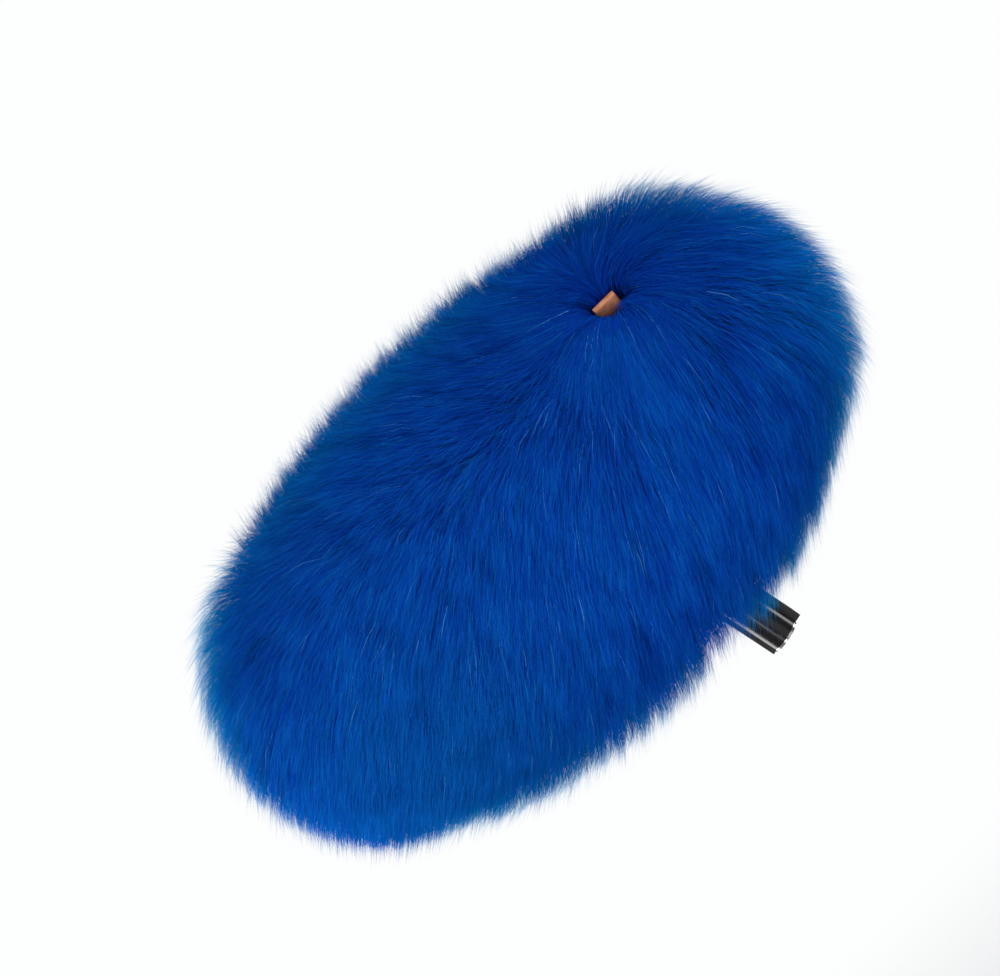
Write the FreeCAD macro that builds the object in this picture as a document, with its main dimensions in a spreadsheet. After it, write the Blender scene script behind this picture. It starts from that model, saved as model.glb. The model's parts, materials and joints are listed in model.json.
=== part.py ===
import FreeCAD
import Part
import math
import os
import re
import Sketcher
from FreeCAD import Placement, Rotation, Vector

# A fur-covered basket windscreen for a boom microphone, with its pivoting pole mount.
#
# Frame: origin at the mouth of the pole thread, on the thread's axis. +X runs along the basket
# towards its front, +Z is up. The stem leans in the XZ plane, so its lower end is further forward.
# Two sets of local coordinates are used:
#   basket coordinates: axis along X, origin in the middle of the basket;
#   stem coordinates: axis along Z, origin at the mouth of the pole thread.

DIMENSIONS = [
    # alias, value (mm or degrees), meaning
    ("stem_tilt", 11.8, "lean of the stem away from square to the basket"),
    ("stem_length", 72.5, "pole thread mouth to tilt pivot"),
    ("pivot_forward", 37.7, "tilt pivot ahead of the basket's middle"),
    ("pivot_drop", 67.0, "tilt pivot below the basket's axis"),
    ("reach_past", 5.0, "how far helper shapes reach past what they cut"),
    ("basket_radius", 50.0, "outside of the cage"),
    ("cage_depth", 2.6, "radial depth of cage hoops and ribs"),
    ("rib_width", 2.4, "width of a cage rib"),
    ("hoop_width", 4.0, "width of a cage hoop"),
    ("cloth_thickness", 0.8, "acoustic cloth over the cage"),
    ("cap_joint", 104.0, "basket's middle to each cap's joint face"),
    ("cap_skirt", 6.0, "straight part of a cap, before its dome"),
    ("ring_width", 10.0, "joining ring's length along the basket"),
    ("mid_hoop_place", 0.6, "a cap's second hoop, as a share of the cap's length"),
    ("spigot_length", 8.0, "cap spigot's length inside its ring"),
    ("spigot_wall", 2.2, "cap spigot's wall"),
    ("spigot_flange", 3.0, "cap spigot's length inside its cap"),
    ("fit_gap", 0.3, "gap between pieces that slide"),
    ("sewn_gap", 0.2, "gap between sewn pieces beside each other"),
    ("neck_gap", 0.4, "gap between the stem collar and the yoke's neck"),
    ("cloth_neck_gap", 0.6, "gap between the acoustic cloth and the yoke's neck"),
    ("nose_radius", 9.0, "solid disc at the tip of a cap cage"),
    ("backing_gap", 0.6, "gap between acoustic cloth and fur backing"),
    ("backing_thickness", 1.8, "knitted backing of the fur"),
    ("pile_radius", 120.0, "outside of the pile at its widest"),
    ("pile_half_length", 216.0, "middle to the end of the pile"),
    ("pile_end_radius", 94.0, "radius of the pile's rounded ends"),
    ("zip_slot_half", 8.2, "half width of the gap between the panels under the basket"),
    ("opening_half_length", 16.0, "half length of the stem opening at the backing"),
    ("opening_half_width", 15.0, "half width of the stem opening at the backing"),
    ("swing_half_mouth", 46.0, "half length of the stem's swing space at the outside"),
    ("swing_front_reach", 34.0, "swing space towards the connector side"),
    ("swing_back_reach", 29.0, "swing space towards the knob side"),
    ("swing_straight", 4.0, "straight part of the swing space below the pivot"),
    ("collar_drop", 54.0, "stem collar's outer face below the basket's axis"),
    ("nose_seam", 120.0, "seam between the side panels and the nose panel"),
    ("seam_turn", 50.0, "upper seam, turned about the basket's axis towards the connector side"),
    ("zip_tape", 1.0, "thickness of the zip's tapes"),
    ("zip_chain_half", 1.6, "half width of the closed zip teeth"),
    ("zip_chain_height", 2.2, "height of the zip teeth"),
    ("slider_length", 10.0, "zip slider"),
    ("slider_half", 4.2, "zip slider's half width"),
    ("slider_height", 2.2, "zip slider"),
    ("slider_start", 3.0, "closed zip slider from the zip's end of the centre section"),
    ("bridge_inset", 2.0, "slider's bridge from each end of its plate"),
    ("bridge_leg", 1.4, "slider's bridge, length of each leg"),
    ("bridge_half", 1.0, "slider's bridge, half width"),
    ("bridge_height", 2.4, "slider's bridge"),
    ("bridge_bar", 0.8, "slider's bridge, thickness of its bar"),
    ("pull_length", 22.0, "zip pull"),
    ("pull_half", 2.8, "zip pull's half width"),
    ("pull_thickness", 1.2, "zip pull"),
    ("pull_bar", 1.4, "zip pull's bar inside the bridge"),
    ("pull_gap", 0.4, "gap round the bridge's leg in the pull's window"),
    ("tab_width", 14.2, "leather tab along the seam"),
    ("tab_height", 50.0, "leather tab standing out of the backing"),
    ("tab_leather", 1.5, "leather thickness"),
    ("tab_forward", 103.5, "leather tab's centre ahead of the basket's middle"),
    ("rail_length", 170.0, "suspension rail"),
    ("rail_width", 16.0, "suspension rail"),
    ("rail_height", 7.0, "suspension rail"),
    ("rail_top_drop", 36.0, "rail's top face below the basket's axis"),
    ("rail_forward", 6.0, "rail's middle ahead of the basket's middle"),
    ("foot_spread", 110.0, "distance between the two rail feet"),
    ("foot_half", 7.0, "half length of a rail foot"),
    ("foot_inset", 1.0, "rail foot inside the rail's edges"),
    ("flange_thickness", 3.5, "yoke flange under the rail"),
    ("flange_half", 16.0, "half length of the yoke flange"),
    ("neck_half", 8.0, "half length of the yoke's neck"),
    ("screw_radius", 1.5, "M3 screws"),
    ("screw_length", 9.0, "M3 screws under the head"),
    ("screw_head_radius", 2.75, "M3 screws"),
    ("screw_head_height", 2.4, "M3 screws"),
    ("screw_spread", 24.0, "distance between the yoke screws"),
    ("lyre_spread", 100.0, "distance between the two lyres"),
    ("lyre_reach", 31.0, "lyre's widest point from the middle"),
    ("lyre_top", 9.0, "lyre's highest point above the axis"),
    ("lyre_seat_gap", 0.2, "gap between a lyre's seat and its clip"),
    ("lyre_depth", 12.0, "lyre's size along the basket"),
    ("lyre_band", 2.4, "thickness of a lyre's band"),
    ("lyre_seat_half", 8.5, "half width of a lyre's seat"),
    ("lyre_base_half", 9.0, "half width of a lyre's base"),
    ("lyre_inner_corner", 9.0, "lyre's inner top corner inside its widest point"),
    ("lyre_inner_fall", 3.0, "lyre's inner top corner below its highest point"),
    ("lyre_top_corner", 4.0, "lyre's highest point inside its widest point"),
    ("lyre_outer_fall", 5.0, "lyre's widest point below its highest point"),
    ("mic_radius", 9.75, "microphone clips hold a 19 to 20 mm tube"),
    ("clip_wall", 2.8, "wall of a microphone clip"),
    ("clip_sector", 280.0, "arc that a clip covers"),
    ("housing_half_width", 12.8, "stem housing across"),
    ("housing_front", 20.0, "stem housing's front face ahead of the thread axis"),
    ("housing_height", 46.0, "stem housing's square part"),
    ("housing_round", 6.0, "rounding of the housing's back edges"),
    ("ear_radius", 11.0, "fork ears round the pivot"),
    ("ear_outer", 14.0, "fork ears' outside, from the middle"),
    ("fork_inner", 9.0, "fork ears' inside, from the middle"),
    ("fork_floor", 54.0, "bottom of the fork, above the thread mouth"),
    ("stalk_overlap", 5.0, "stalk's depth inside the housing's square part"),
    ("stalk_inset", 1.2, "stalk's sides inside the ears' faces"),
    ("bolt_radius", 4.0, "pivot bolt's shank"),
    ("running_gap", 0.05, "radial clearance of a turning fit"),
    ("bolt_head_radius", 6.5, "pivot bolt's head"),
    ("bolt_head_height", 4.0, "pivot bolt's head"),
    ("washer_radius", 9.0, "friction washers"),
    ("thread_radius", 3.97, "wall of the 3/8 inch pole thread"),
    ("thread_depth", 15.0, "pole thread's depth"),
    ("insert_radius", 7.0, "outside of the thread insert"),
    ("insert_length", 18.0, "thread insert"),
    ("plug_side", 1.3, "connector's axis towards the rear of the thread axis"),
    ("plug_forward", 21.0, "connector's axis ahead of the thread axis"),
    ("plug_radius", 9.5, "connector shell's outside"),
    ("plug_bore", 8.0, "connector shell's inside"),
    ("plug_length", 38.0, "connector shell's length"),
    ("plug_socket", 15.0, "depth of the connector's socket"),
    ("plug_ring", 1.4, "bright ring at the connector's mouth"),
    ("plug_back", 2.0, "closed end of the connector's shell"),
    ("contact_radius", 1.2, "contact pins"),
    ("plug_insert_length", 12.0, "connector's insulating disc"),
    ("contact_recess", 3.5, "contact tips behind the connector's mouth"),
    ("contact_circle", 3.9, "contact pins from the connector's axis"),
    ("lug_half", 7.4, "yoke lug's half thickness"),
    ("lug_radius", 10.0, "yoke lug round the pivot"),
    ("knob_radius", 11.5, "tilt knob"),
    ("knob_length", 11.0, "tilt knob"),
    ("bush_radius", 6.5, "threaded bush inside the tilt knob"),
    ("knob_floor", 2.0, "closed end of the tilt knob"),
    ("bolt_end_gap", 3.0, "pivot bolt's end inside the knob's outer face"),
    ("scallop_radius", 2.2, "grip scallops of the tilt knob"),
    ("scallop_out", 0.8, "centre of a scallop outside the knob's rim"),
]

doc = FreeCAD.newDocument("FurryWindscreen")
sheet = doc.addObject("Spreadsheet::Sheet", "Dimensions")
for row, (alias, number, meaning) in enumerate(DIMENSIONS, start=1):
    sheet.set(f"A{row}", alias)
    sheet.set(f"B{row}", str(number))
    sheet.set(f"C{row}", meaning)
    sheet.setAlias(f"B{row}", alias)
doc.recompute()

ALIASES = {alias for alias, _, _ in DIMENSIONS}
parts = []


def dim(alias):
    """The value of one cell of the sheet."""
    return float(sheet.get(alias))


def linked(formula):
    """A formula of cell aliases, written for the expression engine."""
    def prefix(match):
        word = match.group(0)
        return "Dimensions." + word if word in ALIASES else word
    return re.sub(r"[a-z_]+", prefix, str(formula))


def bind(item, **formulas):
    """Bind properties of an object to formulas of the sheet's cells."""
    for name, formula in formulas.items():
        item.setExpression(name, linked(formula))
    return item


def bind_base(item, x="0", y="0", z="0"):
    """Bind the place of an object."""
    for letter, formula in zip("xyz", (x, y, z)):
        item.setExpression(f"Placement.Base.{letter}", linked(formula))
    return item


BASKET_X = "-stem_length * sin(stem_tilt * 1deg) - pivot_forward"
BASKET_Z = "stem_length * cos(stem_tilt * 1deg) + pivot_drop"


def keep(item, name):
    """Name a finished sub-part and put it on the list to write out."""
    item.Label = name
    parts.append(item)
    return item


def on_basket(item, name, x="0", y="0", z="0"):
    """A finished sub-part in basket coordinates, moved there by x, y and z."""
    bind_base(item, x=f"{BASKET_X} + {x}", y=y, z=f"{BASKET_Z} + {z}")
    return keep(item, name)


def on_stem(item, name, x=0, y=0, z=0):
    """A finished sub-part in stem coordinates, moved there by x, y and z."""
    lean = Placement(Vector(0, 0, 0), Rotation(Vector(0, 1, 0), -dim("stem_tilt")))
    item.Placement = lean * Placement(Vector(x, y, z), item.Placement.Rotation)
    return keep(item, name)


# ---- Part primitives -------------------------------------------------------------------------

def block(name, x, y, z):
    """A box between the formulas of its low and high corners: x, y and z are (low, high) pairs."""
    item = doc.addObject("Part::Box", name)
    spans = [f"({high}) - ({low})" for low, high in (x, y, z)]
    bind(item, Length=spans[0], Width=spans[1], Height=spans[2])
    return bind_base(item, x=x[0], y=y[0], z=z[0])


AXIS_TURN = {
    "x": Rotation(Vector(0, 1, 0), 90),
    "y": Rotation(Vector(1, 0, 0), -90),
    "z": Rotation(),
}


def rod(name, radius, length, axis="x", at=("0", "0", "0"), sector=None):
    """A cylinder that starts at a point and runs along +X, +Y or +Z."""
    item = doc.addObject("Part::Cylinder", name)
    bind(item, Radius=radius, Height=length)
    if sector:
        bind(item, Angle=sector)
    item.Placement = Placement(Vector(0, 0, 0), AXIS_TURN[axis])
    return bind_base(item, *at)


def ball(name, radius, at):
    """A sphere centred on the X axis."""
    item = doc.addObject("Part::Sphere", name)
    bind(item, Radius=radius)
    return bind_base(item, x=at)


def joined(name, items):
    """Several solids fused into one."""
    item = doc.addObject("Part::MultiFuse", name)
    item.Shapes = items
    return item


def shared(name, items):
    """The space that several solids have in common."""
    item = doc.addObject("Part::MultiCommon", name)
    item.Shapes = items
    return item


def cut(name, base, tool):
    """One solid with another taken out of it."""
    item = doc.addObject("Part::Cut", name)
    item.Base = base
    item.Tool = tool
    return item


def group(name, items):
    """Identical separate solids kept as one sub-part."""
    item = doc.addObject("Part::Compound", name)
    item.Links = items
    return item


# ---- PartDesign features ---------------------------------------------------------------------

def new_body(name):
    return doc.addObject("PartDesign::Body", name + "_body")


def new_sketch(body, plane, name):
    """A sketch on one of the body's own origin planes."""
    sketch = body.newObject("Sketcher::SketchObject", name)
    face = next(item for item in body.Origin.OriginFeatures if item.Role == plane)
    sketch.AttachmentSupport = (face, [""])
    sketch.MapMode = "FlatFace"
    return sketch


def constrain(sketch, formula, kind, *where):
    """Add one dimension to a sketch and bind it to a formula."""
    index = sketch.addConstraint(Sketcher.Constraint(kind, *where, 1.0))
    sketch.setExpression(f"Constraints[{index}]", linked(formula))


def outline(sketch, corners):
    """A closed outline of straight edges through corners given as pairs of formulas."""
    first = sketch.GeometryCount
    count = len(corners)
    start = [Vector(math.cos(2 * math.pi * k / count), math.sin(2 * math.pi * k / count), 0)
             for k in range(count)]
    for k in range(count):
        sketch.addGeometry(Part.LineSegment(start[k], start[(k + 1) % count]))
    for k in range(count):
        sketch.addConstraint(Sketcher.Constraint("Coincident", first + k, 2, first + (k + 1) % count, 1))
    for k, (across, up) in enumerate(corners):
        constrain(sketch, across, "DistanceX", -1, 1, first + k, 1)
        constrain(sketch, up, "DistanceY", -1, 1, first + k, 1)


def rectangle(sketch, across, up):
    """A closed rectangle between two pairs of formulas."""
    outline(sketch, [(across[0], up[0]), (across[1], up[0]), (across[1], up[1]), (across[0], up[1])])


def circle(sketch, across, up, radius):
    """A circle whose centre and radius are formulas."""
    index = sketch.addGeometry(Part.Circle(Vector(1, 1, 0), Vector(0, 0, 1), 1))
    constrain(sketch, across, "DistanceX", -1, 1, index, 3)
    constrain(sketch, up, "DistanceY", -1, 1, index, 3)
    constrain(sketch, radius, "Radius", index)


def pad(body, sketch, length, reverse=False, middle=False):
    feature = body.newObject("PartDesign::Pad", sketch.Name + "_pad")
    feature.Profile = sketch
    feature.Reversed = reverse
    if middle:
        feature.Midplane = True
    bind(feature, Length=length)
    sketch.Visibility = False
    return feature


def pocket(body, sketch, length=None, reverse=False, middle=False):
    feature = body.newObject("PartDesign::Pocket", sketch.Name + "_pocket")
    feature.Profile = sketch
    feature.Reversed = reverse
    if middle:
        feature.Midplane = True
    if length is None:
        feature.Type = "ThroughAll"
    else:
        bind(feature, Length=length)
    return feature


def turned(name, plane, axis, rectangles):
    """A body turned about a sketch axis from one closed profile of stepped rectangles."""
    body = new_body(name)
    for number, (across, up) in enumerate(rectangles):
        sketch = new_sketch(body, plane, f"{name}_profile{number}")
        rectangle(sketch, across, up)
        feature = body.newObject("PartDesign::Revolution", f"{name}_turn{number}")
        feature.Profile = sketch
        feature.ReferenceAxis = (sketch, [axis])
        feature.Angle = 360
    return body


def edges_where(feature, test):
    """Names of the straight edges of a feature's shape that pass a test on their two ends."""
    names = []
    for number, edge in enumerate(feature.Shape.Edges, start=1):
        ends = [vertex.Point for vertex in edge.Vertexes]
        if len(ends) == 2 and edge.Curve.TypeId == "Part::GeomLine" and test(*ends):
            names.append(f"Edge{number}")
    return names


def rounded(body, feature, test, radius):
    """Fillet the straight edges of a feature that pass a test."""
    doc.recompute()
    fillet = body.newObject("PartDesign::Fillet", feature.Name + "_round")
    fillet.Base = (feature, edges_where(feature, test))
    bind(fillet, Radius=radius)
    return fillet


# ---- basket: cages, cloth and joining rings -----------------------------------------------------

CAGE_INNER = "basket_radius - cage_depth"
CENTRE_END = "cap_joint - ring_width"
RIB_COUNT = 12
CENTRE_HOOPS = 6
FAR = "(pile_half_length + pile_radius)"


def slab(name, low, high):
    """The space between two planes square to the basket's axis."""
    side = ("-basket_radius - reach_past", "basket_radius + reach_past")
    return block(name, (low, high), side, side)


def rib_plates(name, low, high):
    """Plates through the axis that give a cage its ribs, between two planes."""
    plates = []
    for number in range(RIB_COUNT // 2):
        turn = Rotation(Vector(1, 0, 0), 360.0 / RIB_COUNT * (number + 0.5))
        plate = doc.addObject("Part::Box", f"{name}_rib{number}")
        bind(plate, Length=f"({high}) - ({low})", Width="rib_width",
             Height="2 * (basket_radius + reach_past)")
        start = Vector(0, -dim("rib_width") / 2, -dim("basket_radius") - dim("reach_past"))
        plate.Placement = Placement(turn.multVec(start), turn)
        plate.setExpression("Placement.Base.x", linked(low))
        plates.append(plate)
    return plates


def tube(name, low, high, inner, outer):
    """A plain tube along the basket's axis."""
    length = f"({high}) - ({low})"
    outside = rod(name + "_outside", outer, length, at=(low, "0", "0"))
    inside = rod(name + "_inside", inner, length, at=(low, "0", "0"))
    return cut(name, outside, inside)


def make_centre_cage():
    wall = tube("centre_wall", f"-({CENTRE_END})", CENTRE_END, CAGE_INNER, "basket_radius")
    step = f"(2 * ({CENTRE_END}) - hoop_width) / {CENTRE_HOOPS - 1}"
    grid = rib_plates("centre", f"-({CENTRE_END})", CENTRE_END)
    for number in range(CENTRE_HOOPS):
        low = f"-({CENTRE_END}) + {number} * {step}"
        grid.append(slab(f"centre_hoop{number}", low, f"{low} + hoop_width"))
    return shared("centre_cage_shape", [wall, joined("centre_grid", grid)])


def make_joining_ring(name, low, high):
    return tube(name, low, high, CAGE_INNER, "basket_radius + cloth_thickness")


def neck_hole(name, gap):
    """The space round the yoke's neck, where it passes through the cloth."""
    return block(name, (f"pivot_forward - neck_half - {gap}", f"pivot_forward + neck_half + {gap}"),
                 (f"-lug_half - {gap}", f"lug_half + {gap}"), (f"-{FAR}", "0"))


def make_centre_cloth():
    sleeve = tube("cloth_sleeve", f"-({CENTRE_END})", CENTRE_END, "basket_radius",
                  "basket_radius + cloth_thickness")
    return cut("centre_cloth_shape", sleeve, neck_hole("cloth_hole", "cloth_neck_gap"))


def capped_rod(name, radius):
    """A short cylinder with a hemisphere on its far end, starting at the cap's joint face."""
    end = shared(name + "_end", [ball(name + "_ball", radius, "cap_skirt"),
                                 slab(name + "_ahead", "cap_skirt", FAR)])
    return joined(name, [rod(name + "_skirt", radius, "cap_skirt"), end])


def make_cap_cage(name):
    """Hoops, ribs and a nose disc cut out of a domed wall, with the spigot that enters its ring."""
    wall = cut(name + "_wall", capped_rod(name + "_outer", "basket_radius"),
               capped_rod(name + "_hollow", CAGE_INNER))
    tip = "cap_skirt + basket_radius"
    grid = rib_plates(name, "0", tip)
    grid.append(slab(name + "_base_hoop", "0", "hoop_width"))
    middle = f"mid_hoop_place * ({tip})"
    grid.append(slab(name + "_mid_hoop", middle, f"{middle} + hoop_width / 2"))
    grid.append(rod(name + "_nose", "nose_radius", tip))
    lattice = shared(name + "_lattice", [wall, joined(name + "_grid", grid)])
    outer = f"{CAGE_INNER} - fit_gap"
    inner = f"{outer} - spigot_wall"
    spigot = turned(name + "_spigot", "XY_Plane", "H_Axis", [
        (("-spigot_length", "spigot_flange"), (inner, outer)),
        (("0", "spigot_flange"), (inner, f"{CAGE_INNER} + cage_depth / 2")),
    ])
    return joined(name + "_shape", [lattice, spigot])


def make_cap_cloth(name):
    return cut(name + "_shape", capped_rod(name + "_outer", "basket_radius + cloth_thickness"),
               capped_rod(name + "_hollow", "basket_radius"))


def on_cap(item, name, front):
    """A finished sub-part made with its joint face at the origin and its tip towards +X."""
    turn = 0 if front else 180
    item.Placement = Placement(Vector(0, 0, 0), Rotation(Vector(0, 0, 1), turn))
    bind_base(item, x=BASKET_X + (" + cap_joint" if front else " - cap_joint"), z=BASKET_Z)
    return keep(item, name)


on_basket(make_centre_cage(), "centre_cage")
on_basket(make_centre_cloth(), "centre_cloth")
on_basket(make_joining_ring("front_ring_shape", CENTRE_END, "cap_joint"), "front_ring")
on_basket(make_joining_ring("rear_ring_shape", "-cap_joint", f"-({CENTRE_END})"), "rear_ring")
for end, is_front in (("front", True), ("rear", False)):
    on_cap(make_cap_cage(end + "_cap_cage"), end + "_cap_cage", is_front)
    on_cap(make_cap_cloth(end + "_cap_cloth"), end + "_cap_cloth", is_front)


# ---- suspension: rail, feet, yoke, lyres and clips -------------------------------------------

RAIL_LOW = "-rail_top_drop - rail_height"
FLANGE_LOW = f"{RAIL_LOW} - flange_thickness"


def screw_places():
    """The two yoke screws, as formulas of their place along the basket."""
    return ["pivot_forward - screw_spread / 2", "pivot_forward + screw_spread / 2"]


def lyre_places():
    return {"front": "rail_forward + lyre_spread / 2", "rear": "rail_forward - lyre_spread / 2"}


def make_rail():
    body = new_body("rail")
    sketch = new_sketch(body, "XY_Plane", "rail_plan")
    rectangle(sketch, ("rail_forward - rail_length / 2", "rail_forward + rail_length / 2"),
              ("-rail_width / 2", "rail_width / 2"))
    pad(body, sketch, "rail_height", reverse=True)
    holes = new_sketch(body, "XY_Plane", "rail_holes")
    for place in [*screw_places(), *lyre_places().values()]:
        circle(holes, place, "0", "screw_radius")
    pocket(body, holes)
    return body


def make_rail_feet():
    feet = []
    for number, side in enumerate(("-", "+")):
        middle = f"rail_forward {side} foot_spread / 2"
        foot = block(f"foot{number}_block", (f"{middle} - foot_half", f"{middle} + foot_half"),
                     ("-rail_width / 2 + foot_inset", "rail_width / 2 - foot_inset"),
                     ("-basket_radius", RAIL_LOW))
        feet.append(shared(f"foot{number}", [foot, rod(f"foot{number}_round", CAGE_INNER, FAR,
                                                       at=("-pile_half_length", "0", "0"))]))
    return group("rail_feet_shape", feet)


def make_yoke():
    body = new_body("yoke")
    profile = new_sketch(body, "XZ_Plane", "yoke_profile")
    low, high = "pivot_forward - neck_half", "pivot_forward + neck_half"
    left, right = "pivot_forward - flange_half", "pivot_forward + flange_half"
    outline(profile, [(low, "-pivot_drop"), (high, "-pivot_drop"), (high, FLANGE_LOW),
                      (right, FLANGE_LOW), (right, RAIL_LOW), (left, RAIL_LOW),
                      (left, FLANGE_LOW), (low, FLANGE_LOW)])
    pad(body, profile, "2 * lug_half", middle=True)
    lug = new_sketch(body, "XZ_Plane", "yoke_lug")
    circle(lug, "pivot_forward", "-pivot_drop", "lug_radius")
    pad(body, lug, "2 * lug_half", middle=True)
    bore = new_sketch(body, "XZ_Plane", "yoke_bore")
    circle(bore, "pivot_forward", "-pivot_drop", "bolt_radius + running_gap")
    pocket(body, bore, "4 * lug_half", middle=True)
    holes = new_sketch(body, "XY_Plane", "yoke_holes")
    for place in screw_places():
        circle(holes, place, "0", "screw_radius")
    pocket(body, holes)
    return body


def make_screw(name, x, head_face, up):
    """A cap screw: its head's bearing face, and +1 or -1 for the way its shank points."""
    shank = f"{up} * screw_length"
    span = (head_face, f"{head_face} + {shank}") if up > 0 else (f"{head_face} + {shank}", head_face)
    body = rod(name + "_shank", "screw_radius", "screw_length", "z", at=(x, "0", span[0]))
    head_low = f"{head_face} - screw_head_height" if up > 0 else head_face
    head = rod(name + "_head", "screw_head_radius", "screw_head_height", "z", at=(x, "0", head_low))
    return joined(name, [body, head])


def make_yoke_screws():
    return group("yoke_screws_shape", [make_screw(f"yoke_screw{number}", place, FLANGE_LOW, 1)
                                       for number, place in enumerate(screw_places())])


def make_lyre_screws():
    face = "-rail_top_drop + lyre_band"
    return group("lyre_screws_shape", [make_screw(f"lyre_screw_{end}", place, face, -1)
                                       for end, place in lyre_places().items()])


def make_lyre(name):
    """A W-shaped springy band, standing on the rail, whose middle dip carries a clip."""
    half_band = dim("lyre_band") / 2
    base = -dim("rail_top_drop") + half_band
    seat = -dim("mic_radius") - dim("clip_wall") - dim("lyre_seat_gap") - half_band
    reach = dim("lyre_reach")
    top = dim("lyre_top")
    half = [(dim("lyre_seat_half"), seat),
            (reach - dim("lyre_inner_corner"), top - dim("lyre_inner_fall")),
            (reach - dim("lyre_top_corner"), top),
            (reach, top - dim("lyre_outer_fall")),
            (dim("lyre_base_half"), base)]
    line = [Vector(0, y, z) for y, z in half]
    line += [Vector(0, -y, z) for y, z in reversed(half)]
    wire = Part.makePolygon(line + line[:1])
    outside = Part.Face(wire.makeOffset2D(half_band))
    inside = Part.Face(wire.makeOffset2D(-half_band))
    band = outside.cut(inside).extrude(Vector(dim("lyre_depth"), 0, 0))
    hole = Part.makeCylinder(dim("screw_radius"), dim("lyre_band") * 3,
                             Vector(dim("lyre_depth") / 2, 0, base - dim("lyre_band")))
    item = doc.addObject("Part::Feature", name + "_shape")
    item.Shape = band.cut(hole)
    return item


def make_clip(name, place):
    """A C-shaped clip, open at the top, that a microphone tube snaps into."""
    start = (f"{place} - lyre_depth / 2", "0", "0")
    outside = rod(name + "_outside", "mic_radius + clip_wall", "lyre_depth", at=start, sector="clip_sector")
    mouth_turn = Rotation(Vector(0, 0, 1), -dim("clip_sector") / 2)
    outside.Placement.Rotation = AXIS_TURN["x"] * mouth_turn
    inside = rod(name + "_inside", "mic_radius", "lyre_depth", at=start)
    return cut(name + "_shape", outside, inside)


on_basket(make_rail(), "rail", z="-rail_top_drop")
on_basket(make_rail_feet(), "rail_feet")
on_basket(make_yoke(), "yoke")
on_basket(make_yoke_screws(), "yoke_screws")
on_basket(make_lyre_screws(), "lyre_screws")
for end, place in lyre_places().items():
    on_basket(make_lyre(end + "_lyre"), end + "_lyre", x=f"{place} - lyre_depth / 2")
    on_basket(make_clip(end + "_clip", place), end + "_clip")


# ---- stem: housing, pole thread, connector and pivot -------------------------------------------

def make_housing():
    """A saddle-shaped block: fork on top, pole thread below, connector channel in front."""
    body = new_body("stem_housing")
    plan = new_sketch(body, "XY_Plane", "housing_plan")
    rectangle(plan, ("-housing_half_width", "housing_half_width"), ("-housing_front", "housing_half_width"))
    block_pad = pad(body, plan, "housing_height")

    def is_back_upright(a, b):
        return min(a.y, b.y) > 0 and a.x * b.x > 0 and abs(a.z - b.z) > 0.5 * dim("housing_height")

    rounded(body, block_pad, is_back_upright, "housing_round")
    stalk = new_sketch(body, "XZ_Plane", "housing_stalk")
    rectangle(stalk, ("-ear_radius", "ear_radius"), ("housing_height - stalk_overlap", "stem_length"))
    pad(body, stalk, "2 * (ear_outer - stalk_inset)", middle=True)
    ears = new_sketch(body, "XZ_Plane", "housing_ears")
    circle(ears, "0", "stem_length", "ear_radius")
    pad(body, ears, "2 * ear_outer", middle=True)
    fork = new_sketch(body, "XZ_Plane", "housing_fork")
    rectangle(fork, ("-2 * ear_radius", "2 * ear_radius"), ("fork_floor", "2 * stem_length"))
    pocket(body, fork, "2 * fork_inner", middle=True)
    bore = new_sketch(body, "XZ_Plane", "housing_bore")
    circle(bore, "0", "stem_length", "bolt_radius")
    pocket(body, bore, "4 * ear_outer", middle=True)
    seat = new_sketch(body, "XY_Plane", "housing_seat")
    circle(seat, "0", "0", "insert_radius")
    pocket(body, seat, "insert_length", reverse=True)
    channel = new_sketch(body, "XY_Plane", "housing_channel")
    circle(channel, "-plug_side", "-plug_forward", "plug_radius")
    pocket(body, channel, "plug_length", reverse=True)
    return body


def make_thread_insert():
    return turned("thread_insert", "XZ_Plane", "V_Axis", [
        (("thread_radius", "insert_radius"), ("0", "insert_length")),
        (("0", "insert_radius"), ("thread_depth", "insert_length")),
    ])


def make_plug_shell():
    return turned("plug_shell", "XZ_Plane", "V_Axis", [
        (("plug_bore", "plug_radius"), ("plug_ring", "plug_length")),
        (("0", "plug_radius"), ("plug_length - plug_back", "plug_length")),
    ])


def make_plug_ring():
    return turned("plug_ring", "XZ_Plane", "V_Axis", [(("plug_bore", "plug_radius"), ("0", "plug_ring"))])


CONTACT_TURNS = (0, 180, 270)


def make_plug_insert():
    """The connector's insulating disc, with a hole for each contact."""
    body = new_body("plug_insert")
    disc = new_sketch(body, "XY_Plane", "insert_disc")
    circle(disc, "0", "0", "plug_bore")
    pad(body, disc, "plug_insert_length")
    holes = new_sketch(body, "XY_Plane", "insert_holes")
    for turn in CONTACT_TURNS:
        circle(holes, f"contact_circle * cos({turn} * 1deg)", f"contact_circle * sin({turn} * 1deg)",
               "contact_radius")
    pocket(body, holes, reverse=True)
    return body


def make_contacts():
    pins = []
    for number, turn in enumerate(CONTACT_TURNS):
        place = (f"contact_circle * cos({turn} * 1deg)", f"contact_circle * sin({turn} * 1deg)",
                 "contact_recess")
        pins.append(rod(f"contact{number}", "contact_radius",
                        "plug_socket + plug_insert_length - contact_recess", "z", at=place))
    return group("contacts_shape", pins)


def make_pivot_bolt():
    return turned("pivot_bolt", "XY_Plane", "V_Axis", [
        (("0", "bolt_radius"), ("-ear_outer", "ear_outer + knob_length - bolt_end_gap")),
        (("0", "bolt_head_radius"), ("-ear_outer - bolt_head_height", "-ear_outer")),
    ])


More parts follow.
